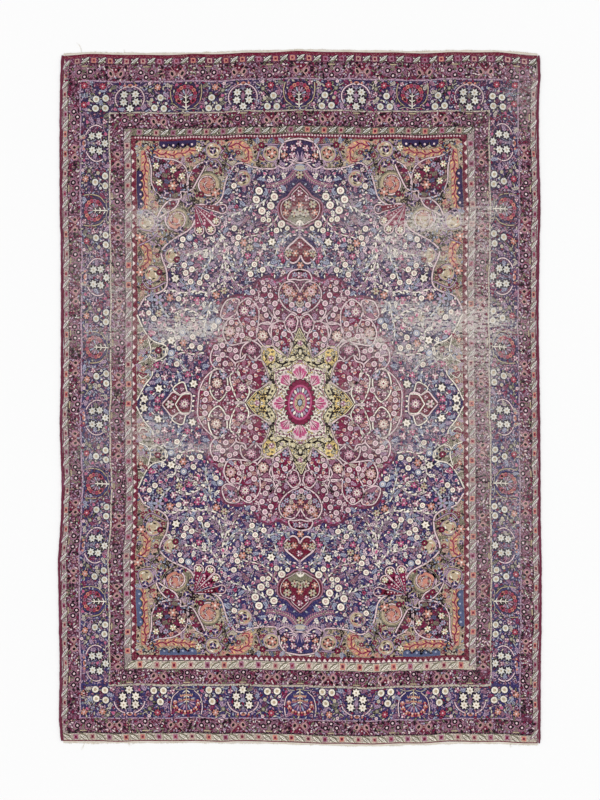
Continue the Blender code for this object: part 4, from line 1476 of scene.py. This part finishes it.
def side_spandrel(cartoon):
    """Half of the gold ground between the arcs at the field's long edge, and half of the bud beside it."""
    fill(cartoon, "sand", GROUND, SIDE_EDGE, 2.4)
    cartoon.line("ivory", curve(SIDE_EDGE), 1.4, 1.0)
    fill(cartoon, "wine", PANEL, SIDE_BUD)
    cartoon.line("blush", curve(SIDE_BUD), 1.3, 1.0)
    fill(cartoon, "plum", PANEL, SIDE_WINGLET)
    for points in SIDE_STRANDS:
        cartoon.line("ivory", curve(points), 1.2, 0.9)
    put_bunches(cartoon, SIDE_BUNCHES)
    for at, radius in ((115 + 5j, 8), (129 + 4j, 7), (119 + 15j, 5)):
        cartoon.claim(at, radius)
    return inside(cartoon.garden.centres, SIDE_EDGE)


def draw_field(cartoon):
    """The whole field, charted for one quarter and mirrored into the other three."""
    cartoon.mirrors = QUARTERS
    garden = cartoon.garden = Garden(0j, complex(FIELD_HALF_WIDTH, FIELD_HALF_LENGTH))
    in_medallion, in_star, in_ivory = (
        inside(garden.centres, edge + (0j,)) for edge in (MEDALLION_EDGE, STAR_EDGE, IVORY_EDGE))
    straps = medallion(cartoon)
    medallion_star(cartoon)
    pendants(cartoon)
    in_corner = corner_piece(cartoon) | side_spandrel(cartoon)
    put_bunches(cartoon, FIELD_BUNCHES)
    stems = []
    for n, points in enumerate(FIELD_VINES):
        leaves = (("ivory", "lilac"), ("sky", "lilac", "ivory"), ("lilac", "rose"))[n % 3]
        stems.extend(leafy_vine(cartoon, points, ("ivory", "pearl")[n % 2], leaves))
    for row in FIELD_FERNS:
        fern(cartoon, *row)
    plant(cartoon, ~(in_medallion | in_corner), FIELD_PLANTING, "field", stems)
    plant(cartoon, in_medallion & ~in_star, MEDALLION_PLANTING, "medallion", straps)
    plant(cartoon, in_corner, CORNER_PLANTING, "corner", [], ("night", "olive", "sand", "maroon"))
    plant(cartoon, in_star & ~in_ivory, STAR_PLANTING, "star", [], ("night", "olive", "ivory"), 0.8)
    plant(cartoon, in_ivory, IVORY_PLANTING, "ivory star", [], ("clay", "gold", "rose", "olive"), 0.7)
    cartoon.mirrors = ONCE
    cartoon.garden = None
    rosette(cartoon, 14.6, 22.4)


def draw_cartoon():
    """The finished cartoon: borders first, then the field."""
    cartoon = Cartoon()
    lay_band_grounds(cartoon)
    for guard in GUARDS:
        guard_stripe(cartoon, guard)
    for border in SMALL_BORDERS:
        small_border(cartoon, border)
    main_border(cartoon)
    toothed_line(cartoon)
    draw_field(cartoon)
    return cartoon


# ------------------------------------------------------------------ finishes


def shader_maths(operation, reflected=False):
    """An operator of Socket: one Math node for the socket and another value."""
    def apply(self, other):
        first, second = (other, self) if reflected else (self, other)
        return self.board.node("ShaderNodeMath", {"operation": operation}, {0: first, 1: second}, 0)
    return apply


class Socket:
    """A shader value that can be used in Python expressions."""

    def __init__(self, board, link):
        self.board, self.link = board, link

    __add__ = __radd__ = shader_maths("ADD")
    __mul__ = __rmul__ = shader_maths("MULTIPLY")
    __sub__, __rsub__ = shader_maths("SUBTRACT"), shader_maths("SUBTRACT", reflected=True)
    __truediv__ = shader_maths("DIVIDE")

    def sine(self):
        return self.board.node("ShaderNodeMath", {"operation": "SINE"}, {0: self}, 0)

    def clamp(self):
        return self.board.node("ShaderNodeClamp", {}, {"Value": self}, 0)


class Finish:
    """A material with its node board."""

    def __init__(self, name, roughness=0.9, sheen=0.06):
        self.material = bpy.data.materials.new(name)
        self.material.use_nodes = True
        self.tree = self.material.node_tree
        self.shader = self.tree.nodes["Principled BSDF"]
        for socket, value in (("Roughness", roughness), ("Sheen Weight", sheen), ("Sheen Roughness", 0.6),
                              ("Specular IOR Level", 0.06)):
            self.shader.inputs[socket].default_value = value

    def node(self, kind, settings, values, output=None):
        node = self.tree.nodes.new(kind)
        for setting, value in settings.items():
            setattr(node, setting, value)
        for name, value in values.items():
            if isinstance(value, Socket):
                self.tree.links.new(value.link, node.inputs[name])
            else:
                node.inputs[name].default_value = value
        return Socket(self, node.outputs[output]) if output is not None else node

    def parts(self, node, names):
        """Several outputs of one node."""
        return [Socket(self, node.outputs[name]) for name in names]

    def attribute(self, name):
        return self.node("ShaderNodeAttribute", {"attribute_name": name}, {}, "Fac")

    def place(self):
        return self.node("ShaderNodeTexCoord", {}, {}, "Object")

    def axes(self, where):
        return self.parts(self.node("ShaderNodeSeparateXYZ", {}, {"Vector": where}), "XY")

    def noise(self, where, scale, detail=2.0, stretch=(1, 1, 1)):
        mapped = self.node("ShaderNodeMapping", {}, {"Vector": where, "Scale": stretch}, "Vector")
        values = {"Vector": mapped, "Scale": scale, "Detail": detail}
        return self.node("ShaderNodeTexNoise", {}, values, "Fac")

    def cells(self, where, size, turn):
        """Cells of the given size in metres: distance to the middle, and three chance values."""
        mapped = self.node("ShaderNodeMapping", {"vector_type": "TEXTURE"},
                           {"Vector": where, "Rotation": (0, 0, turn), "Scale": size}, "Vector")
        voronoi = self.node("ShaderNodeTexVoronoi", {"voronoi_dimensions": "2D"},
                            {"Vector": mapped, "Scale": 1.0})
        distance, colour = self.parts(voronoi, ("Distance", "Color"))
        return distance, self.parts(self.node("ShaderNodeSeparateColor", {}, {"Color": colour}), range(3))

    def pick(self, chance, colours):
        """One of the colours, by a chance value from 0 to 1."""
        colour = colours[0]
        for n, other in enumerate(colours[1:], 1):
            colour = self.blend(((chance - n / len(colours)) * 400).clamp(), colour, other)
        return colour

    def blend(self, share, first, second, mode="MIX"):
        return self.node("ShaderNodeMix", {"data_type": "RGBA", "blend_type": mode},
                         {"Factor": share, 6: first, 7: second}, 2)

    def feed(self, name, value):
        self.tree.links.new(value.link, self.shader.inputs[name])

    def bump(self, height, strength, distance):
        values = {"Height": height, "Strength": strength, "Distance": distance}
        self.feed("Normal", self.node("ShaderNodeBump", {}, values, "Normal"))


def dyed_wool(name):
    """Knotted wool of one dye: single knots, woven marks, uneven dyeing, and wear down to the warp."""
    finish = Finish("wool_" + name)
    where = finish.place()
    knot, (tuft, luck, bald) = finish.cells(where, (0.0029, 0.0027, 1), 0.0)
    dyeing = finish.noise(where, 1.0, 3.0, (1.6, 9.0, 1))
    fleck = finish.noise(where, 150.0, 2.0)
    colour = DYES[name]
    if name == "indigo":
        height = finish.axes(where)[1]
        colour = finish.blend((0.5 - height * 0.7 + dyeing * 0.5).clamp(), colour, DEEP_BLUE)
    marks = MARKS.get(name, ANY_MARKS)
    mark_share = MARK_SHARES.get(name, USUAL_MARK_SHARE)
    for turn, size, shift in ((0.7, (0.0125, 0.0068, 1), 0), (-0.9, (0.0105, 0.0060, 1), 3)):
        distance, (choice, present, _) = finish.cells(where, size, turn)
        mark = finish.pick(choice, [DYES[marks[(n + shift) % len(marks)]] for n in range(3)])
        shown = ((0.42 - distance) * 7.0).clamp() * ((present - 0.3) * 9.0).clamp()
        colour = finish.blend(shown * finish.attribute("ground") * mark_share, colour, mark)
    bright = 0.34 + tuft * 0.60 + dyeing * 0.24 + fleck * 0.70 - finish.attribute("shade") * 0.20
    grey = finish.node("ShaderNodeCombineColor", {}, {0: bright, 1: bright, 2: bright}, 0)
    colour = finish.blend(1.0, colour, grey, "MULTIPLY")
    streak = finish.noise(where, 1.0, 2.0, (5.0, 60.0, 1))
    puff = finish.noise(where, 1.0, 2.0, (48.0, 88.0, 1))
    patchy = ((streak - 0.5) * 4.0 + (puff - 0.5) * 6.0 + 0.8).clamp()
    wear = finish.attribute("wear")
    colour = finish.blend(wear * (0.1 + patchy * 0.5), colour, FOUNDATION)
    bare = ((wear * patchy + BASE_WEAR - bald * 0.8 - 0.1) * 4.0).clamp() * 0.75
    finish.feed("Base Color", finish.blend(bare, colour, FOUNDATION))
    finish.feed("Roughness", (0.84 + luck * 0.12).clamp())
    finish.bump(knot * -1.0 + fleck * 0.6, 0.5, 0.0012)
    return finish.material


def overcast_wool():
    """Wine-red wool wrapped round the side cords, with painted shade in the grooves between its wraps."""
    finish = Finish("overcast_wool", 0.85, 0.3)
    where = finish.place()
    wraps = (finish.axes(where)[1] * 2 * math.pi / 0.0032).sine()
    drift = finish.noise(where, 9.0, 3.0, (1, 0.6, 1))
    fade = ((drift - 0.52) * 5.0).clamp()
    colour = finish.blend(fade * 0.55, linear(120, 24, 62), linear(160, 88, 122))
    # painted shade: the colour turns dark wine in the grooves between the wraps, where the bump is low
    colour = finish.blend(0.35 - wraps * 0.18, colour, linear(60, 12, 30))
    finish.feed("Base Color", colour)
    finish.bump(wraps + drift, 0.6, 0.0009)
    return finish.material


def raw_cotton():
    """Undyed cotton of the end webs and the warp."""
    finish = Finish("foundation_cotton", 0.92, 0.15)
    where = finish.place()
    across, along = finish.axes(where)
    weave = (across * 2 * math.pi / 0.0024).sine() * (along * 2 * math.pi / 0.0019).sine()
    soil = finish.noise(where, 24.0, 3.0)
    colour = finish.blend((soil * 1.3 - 0.3).clamp(), linear(234, 228, 218), linear(204, 192, 170))
    finish.feed("Base Color", colour)
    finish.bump(weave, 0.5, 0.0006)
    return finish.material


# ------------------------------------------------------------------ pieces


def new_object(name, points, faces):
    mesh = bpy.data.meshes.new(name)
    mesh.from_pydata(points, [], faces)
    mesh.update()
    piece = bpy.data.objects.new(name, mesh)
    bpy.context.scene.collection.objects.link(piece)
    return piece


def points_of(mesh):
    points = np.zeros(len(mesh.vertices) * 3)
    mesh.vertices.foreach_get("co", points)
    return points.reshape(-1, 3)


def move_points(mesh, *columns):
    mesh.vertices.foreach_set("co", np.column_stack(columns).ravel())
    mesh.update()


def give_surface(piece, lie, shades, levels):
    """Wear, shade and share of ground marks at each point, and a flat map over the piece named OFBake."""
    mesh = piece.data
    points = points_of(mesh)
    ground = np.interp(levels, (GROUND, PANEL, INSET, LEAF), (1.0, 0.6, 0.4, 0.1))
    for name, values in (("wear", lie.wear(*points.T[:2])), ("shade", shades), ("ground", ground)):
        mesh.attributes.new(name, "FLOAT", "POINT").data.foreach_set("value", np.asarray(values, np.float32))
    low, high = points.min(0), points.max(0)
    span = max(high[0] - low[0], high[1] - low[1])
    corner = np.zeros(len(mesh.loops), np.int32)
    mesh.loops.foreach_get("vertex_index", corner)
    spread = 0.004 + 0.992 * (points[corner, :2] - low[:2]) / span
    mesh.uv_layers.new(name="OFBake").data.foreach_set("uv", spread.astype(np.float32).ravel())


def deselect_all():
    bpy.ops.object.select_all(action="DESELECT")


def face_outwards(piece):
    deselect_all()
    piece.select_set(True)
    bpy.context.view_layer.objects.active = piece
    bpy.ops.object.mode_set(mode="EDIT")
    bpy.ops.mesh.select_all(action="SELECT")
    bpy.ops.mesh.normals_make_consistent(inside=False)
    bpy.ops.object.mode_set(mode="OBJECT")


def add_grid(name, columns, rows):
    """A grid of the given number of cells, from -1 to 1 each way."""
    deselect_all()
    bpy.ops.mesh.primitive_grid_add(x_subdivisions=columns, y_subdivisions=rows, size=2)
    grid = bpy.context.active_object
    grid.name = grid.data.name = name
    return grid


class Carpet:
    """What the operators share: how the carpet lies, its cartoon and its pieces."""

    lie = None
    cartoon = None
    pieces = []


def lie_of_carpet():
    if Carpet.lie is None:
        Carpet.lie = Lie(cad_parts["pile_body"])
    return Carpet.lie


def weave_sheet(cell_m):
    """The indigo pile sheet: a grid laid to the crooked outline, closed by its edges and back."""
    lie = lie_of_carpet()
    columns, rows = (int(2 * half * SQUARE / cell_m) for half in (HALF_WIDTH, HALF_LENGTH))
    sheet = add_grid("pile_sheet", columns, rows)
    bpy.ops.object.mode_set(mode="EDIT")
    bpy.ops.mesh.select_all(action="DESELECT")
    bpy.ops.mesh.select_mode(type="EDGE")
    bpy.ops.mesh.select_non_manifold()
    bpy.ops.mesh.extrude_region_move(TRANSFORM_OT_translate={"value": (0, 0, -1)})
    bpy.ops.mesh.edge_face_add()
    bpy.ops.object.mode_set(mode="OBJECT")
    mesh = sheet.data
    points = points_of(mesh)
    chart = points[:, 0] * HALF_WIDTH + 1j * points[:, 1] * HALF_LENGTH
    x, y = lie.plan(chart)
    rim = abs(points[:, :2]).max(1) > 0.9999
    height = lie.height(x, y) - np.where(rim, 1.2 * MM, 0)
    move_points(mesh, x, y, np.where(points[:, 2] > -0.5, height, 0.0))
    for polygon in mesh.polygons:
        edge = max(abs(chart[v].real) > HALF_WIDTH - 0.5 or abs(chart[v].imag) > HALF_LENGTH - 0.5
                   for v in polygon.vertices)
        polygon.material_index = int(edge and len(polygon.vertices) == 4)
    sheet.data.materials.append(dyed_wool("indigo"))
    sheet.data.materials.append(dyed_wool("wine"))
    give_surface(sheet, lie, np.full(len(mesh.vertices), 0.5), np.zeros(len(mesh.vertices)))
    return sheet


def weave_motifs():
    """One piece for each dye of the design."""
    lie = lie_of_carpet()
    rng = np.random.default_rng(3)
    made = []
    for dye, chunks in Carpet.cartoon.chunks.items():
        if not chunks:
            continue
        chart = np.concatenate([points for _, points, _ in chunks])
        counts = [len(points) for _, points, _ in chunks]
        levels = np.repeat([level for level, _, _ in chunks], counts)
        shades = np.repeat(rng.random(len(chunks)), counts)
        x, y = lie.plan(chart)
        z = lie.height(x, y) + levels * LEVEL_STEP
        faces, start = [], 0
        for (_, points, loops), count in zip(chunks, counts):
            faces += [tuple(start + k for k in loop) for loop in loops]
            start += count
        piece = new_object(dye + "_wool", np.column_stack([x, y, z]), faces)
        material = bpy.data.materials.get("wool_" + dye) or dyed_wool(dye)
        piece.data.materials.append(material)
        give_surface(piece, lie, shades, levels)
        made.append(piece)
    return made


CORD_WIDTH = 14.0 * MM
CORD_HEIGHT = 8.5 * MM
GAP = 0.3 * MM              # between the pile and what is sewn to it


def wrap_cord(name, side, material):
    """A side cord, swept along the edge of the pile with small ripples in its wrapping."""
    lie = lie_of_carpet()
    rings, around = 420, 12
    share = np.linspace(0, 1, rings)
    foot, head = (lie.edge(end, 0.0 if side < 0 else 1.0) for end in ("foot", "head"))
    y = foot + (head - foot) * share
    ripple = 0.9 * MM * np.sin(y / 0.0134) + 0.5 * MM * np.sin(y / 0.031 + 1)
    swell = 1 + 0.05 * np.sin(y / 0.0052) + 0.04 * np.sin(y / 0.019 + 2)
    swell = swell * np.clip(np.minimum(share, 1 - share) * 60 + 0.6, 0, 1)
    edge_x = lie.edge("left" if side < 0 else "right", share)
    centre = edge_x + side * (GAP + CORD_WIDTH / 2) + side * ripple * 0.6
    angles = 2 * np.pi * (np.arange(around) + 0.5) / around
    points, faces = [], []
    for n in range(rings):
        wide, tall = CORD_WIDTH / 2 * swell[n], CORD_HEIGHT / 2 * swell[n]
        px = centre[n] + wide * np.sign(np.cos(angles)) * abs(np.cos(angles)) ** 0.8
        pz = tall + tall * np.sin(angles)
        points += [(a, y[n], max(0.0, b)) for a, b in zip(px, pz)]
    for n in range(rings - 1):
        for k in range(around):
            a, b = n * around + k, n * around + (k + 1) % around
            faces.append((a, a + around, b + around, b))
    faces.append(tuple(range(around)))
    faces.append(tuple(reversed(range((rings - 1) * around, rings * around))))
    cord = new_object(name.replace("side_cord", "overcast_cord"), points, faces)
    face_outwards(cord)
    bpy.ops.object.shade_smooth_by_angle(angle=math.radians(60))
    cord.data.materials.append(material)
    return cord


WEB_DEPTH = 12.0 * MM
WEB_HEIGHT = 3.0 * MM


def weave_web(name, end, outward, material):
    """An end web: a thin cotton strip along one end of the pile, uneven on its outer edge."""
    lie = lie_of_carpet()
    count = 500
    share = np.linspace(0, 1, count)
    left, right = (lie.edge(side, float(outward > 0)) for side in ("left", "right"))
    x = left + (right - left) * share
    inner = lie.edge(end, share) + outward * GAP
    ragged = WEB_DEPTH * (0.75 + 0.45 * drift_noise(share * 130, np.zeros(count), 8)
                          - 0.25 * drift_noise(share * 37, np.zeros(count), 9))
    web = add_grid(name.replace("end_web", "cotton_web"), count - 1, 3)
    points = points_of(web.data)
    column = np.rint((points[:, 0] + 1) / 2 * (count - 1)).astype(int)
    depth = (points[:, 1] + 1) / 2
    if outward < 0:
        depth = 1 - depth
    y = inner[column] + outward * ragged[column] * depth
    move_points(web.data, x[column], y, WEB_HEIGHT * (0.9 - 0.45 * depth ** 2))
    solid = web.modifiers.new("thickness", "SOLIDIFY")
    solid.thickness = 1.2 * MM
    solid.offset = -1
    bpy.context.view_layer.objects.active = web
    bpy.ops.object.modifier_apply(modifier="thickness")
    web.data.materials.append(material)
    return web


StrayRow = namedtuple("StrayRow", "end from_left_m length_m turn_deg")
STRAY_ROWS = (
    StrayRow("head", 0.10, 0.074, 55), StrayRow("head", 0.35, 0.026, 20), StrayRow("foot", 0.12, 0.048, -45),
    StrayRow("foot", 0.37, 0.030, 60), StrayRow("foot", 2.54, 0.030, 30), StrayRow("foot", 2.60, 0.024, -35),
)


def thread_rows(end, threads, rng):
    """Share across, length, turn and radius of every thread of one end; the long loose ones come last."""
    rows = []
    for n in range(threads):
        share = (n + rng.random()) / threads
        tuft = float(drift_noise(np.array([share * 90]), np.array([0.5]), 12)[0])
        length = (2.0 + 13.0 * tuft * rng.random() + 3.0 * rng.random()) * MM
        rows.append((share, length, rng.uniform(-70, 70), rng.uniform(0.55, 1.05) * MM))
    for stray in (row for row in STRAY_ROWS if row.end == end):
        for _ in range(3):
            share = stray.from_left_m / CARPET_WIDTH + rng.uniform(-0.0006, 0.0006)
            length = stray.length_m * rng.uniform(0.7, 1.0)
            rows.append((share, length, stray.turn_deg + rng.uniform(-12, 12), 0.6 * MM))
    return rows


def fray_fringe(name, end, outward, threads, material):
    """The frayed warp: many short cotton threads and a few long loose ones, each of three sides."""
    lie = lie_of_carpet()
    rng = random.Random("fringe " + end)
    left, right = (lie.edge(side, float(outward > 0)) for side in ("left", "right"))
    points, faces = [], []
    for share, length, turn, radius in thread_rows(end, threads, rng):
        root_y = float(lie.edge(end, share)) + outward * WEB_DEPTH * 0.55
        at = complex(left + (right - left) * share, root_y)
        steps = 5 if length < 0.02 else 12
        heading = outward * math.pi / 2 + math.radians(rng.uniform(-18, 18))
        stand = rng.uniform(0.2, 1.0) * MM
        base = len(points)
        for n in range(steps + 1):
            rise = WEB_HEIGHT * 0.5 * (1 - n / steps) + stand * math.sin(math.pi * n / steps) + radius
            side = rect(1, heading + math.pi / 2)
            thin = radius * (1 - 0.35 * n / steps)
            for angle in np.radians((90, 210, 330)):
                edge = at + side * thin * math.cos(angle)
                points.append((edge.real, edge.imag, rise + thin * math.sin(angle)))
            heading += math.radians(turn) / steps
            at += rect(length / steps, heading)
        for n in range(base, base + 3 * steps, 3):
            faces += [(n + k, n + (k + 1) % 3, n + (k + 1) % 3 + 3, n + k + 3) for k in range(3)]
        last = base + 3 * steps
        faces += [(base + 2, base + 1, base), (last, last + 1, last + 2)]
    fringe = new_object(name.replace("end_web", "warp_fringe"), points, faces)
    face_outwards(fringe)
    fringe.data.materials.append(material)
    return fringe


# ------------------------------------------------------------------ stage


CAMERA_HEIGHT = 12.0
PICTURE_HEIGHT = 800 * SQUARE
VIEW_SHIFT = (0.25, -2.1)   # from the carpet's middle, in squares


def set_stage(floor_size, daylight):
    scene = bpy.context.scene
    deselect_all()
    bpy.ops.mesh.primitive_plane_add(size=floor_size, location=(0, 0, -0.4 * MM))
    floor = bpy.context.active_object
    floor.name = "studio_floor"
    finish = Finish("pale_floor", 0.95, 0.0)
    grain = finish.noise(finish.place(), 40.0)
    finish.feed("Base Color", finish.blend(grain * 0.05, (0.93, 0.93, 0.93, 1), (0.86, 0.86, 0.86, 1)))
    floor.data.materials.append(finish.material)
    world = scene.world = bpy.data.worlds.new("soft_daylight")
    world.use_nodes = True
    sky = world.node_tree.nodes["Background"]
    sky.inputs["Color"].default_value = (1.0, 1.0, 1.0, 1)
    sky.inputs["Strength"].default_value = daylight
    bpy.ops.object.light_add(type="SUN", rotation=(math.radians(32), math.radians(-18), 0))
    sun = bpy.context.active_object.data
    sun.energy, sun.angle = 0.9, math.radians(30)
    x, y = (m + shift * SQUARE for m, shift in zip(lie_of_carpet().middle, VIEW_SHIFT))
    bpy.ops.object.camera_add(location=(x, y, CAMERA_HEIGHT), rotation=(0, 0, 0))
    scene.camera = bpy.context.active_object
    scene.camera.data.sensor_width = 36.0
    scene.camera.data.lens = 36.0 * CAMERA_HEIGHT / PICTURE_HEIGHT
    scene.view_settings.view_transform = "Standard"


# ------------------------------------------------------------------ add-on


class CarpetSizes(bpy.types.PropertyGroup):
    cell: bpy.props.FloatProperty(name="Sheet cell", description="Size of one cell of the pile sheet",
                                  default=0.024, unit="LENGTH")
    threads: bpy.props.IntProperty(name="Warp threads", description="Frayed warp threads at each end",
                                   default=1500)
    daylight: bpy.props.FloatProperty(name="Daylight", description="Strength of the even studio light",
                                      default=0.82)
    floor: bpy.props.FloatProperty(name="Floor", description="Width of the studio floor", default=60.0,
                                   unit="LENGTH")


class CARPET_OT_stage(bpy.types.Operator):
    """Lay the pale studio floor and set the light and the camera"""
    bl_idname = "carpet.stage"
    bl_label = "Studio"

    def execute(self, context):
        sizes = context.scene.carpet_sizes
        set_stage(sizes.floor, sizes.daylight)
        return {"FINISHED"}


class CARPET_OT_sheet(bpy.types.Operator):
    """Weave the indigo pile sheet"""
    bl_idname = "carpet.sheet"
    bl_label = "Pile Sheet"

    def execute(self, context):
        sheet = weave_sheet(context.scene.carpet_sizes.cell)
        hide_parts("pile_body")
        Carpet.pieces.insert(0, sheet)
        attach(sheet, "root")
        return {"FINISHED"}


class CARPET_OT_motifs(bpy.types.Operator):
    """Draw the cartoon and weave its motifs, one piece for each dye"""
    bl_idname = "carpet.motifs"
    bl_label = "Woven Design"

    def execute(self, context):
        Carpet.cartoon = draw_cartoon()
        for piece in weave_motifs():
            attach(piece, "root")
            Carpet.pieces.append(piece)
        return {"FINISHED"}


class CARPET_OT_cords(bpy.types.Operator):
    """Wrap the side cords with wine-red wool"""
    bl_idname = "carpet.cords"
    bl_label = "Side Cords"

    def execute(self, context):
        material = overcast_wool()
        for name, side in (("side_cord_left", -1), ("side_cord_right", 1)):
            cord = wrap_cord(name, side, material)
            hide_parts(name)
            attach(cord, "root")
            Carpet.pieces.append(cord)
        return {"FINISHED"}


class CARPET_OT_ends(bpy.types.Operator):
    """Weave the cotton end webs and fray their warp threads"""
    bl_idname = "carpet.ends"
    bl_label = "End Webs and Fringe"

    def execute(self, context):
        material = raw_cotton()
        threads = context.scene.carpet_sizes.threads
        for name, end, outward in (("end_web_head", "head", 1), ("end_web_foot", "foot", -1)):
            web = weave_web(name, end, outward, material)
            fringe = fray_fringe(name, end, outward, threads, material)
            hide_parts(name)
            for piece in (web, fringe):
                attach(piece, "root")
                Carpet.pieces.append(piece)
        return {"FINISHED"}


class CARPET_PT_panel(bpy.types.Panel):
    """Panel with the carpet's sizes and steps"""
    bl_label = "Medallion Carpet"
    bl_idname = "CARPET_PT_panel"
    bl_space_type = "VIEW_3D"
    bl_region_type = "UI"
    bl_category = "Carpet"

    def draw(self, context):
        sizes = context.scene.carpet_sizes
        for name in ("cell", "threads", "daylight", "floor"):
            self.layout.prop(sizes, name)
        for operator in OPERATORS:
            self.layout.operator(operator.bl_idname)


OPERATORS = (CARPET_OT_stage, CARPET_OT_sheet, CARPET_OT_motifs, CARPET_OT_cords, CARPET_OT_ends)
CLASSES = (CarpetSizes, *OPERATORS, CARPET_PT_panel)


def register():
    for cls in CLASSES:
        bpy.utils.register_class(cls)
    bpy.types.Scene.carpet_sizes = bpy.props.PointerProperty(type=CarpetSizes)


def unregister():
    del bpy.types.Scene.carpet_sizes
    for cls in reversed(CLASSES):
        bpy.utils.unregister_class(cls)


def main():
    register()
    bpy.ops.carpet.stage()
    bpy.ops.carpet.sheet()
    bpy.ops.carpet.motifs()
    bpy.ops.carpet.cords()
    bpy.ops.carpet.ends()


if __name__ == "__main__":
    main()
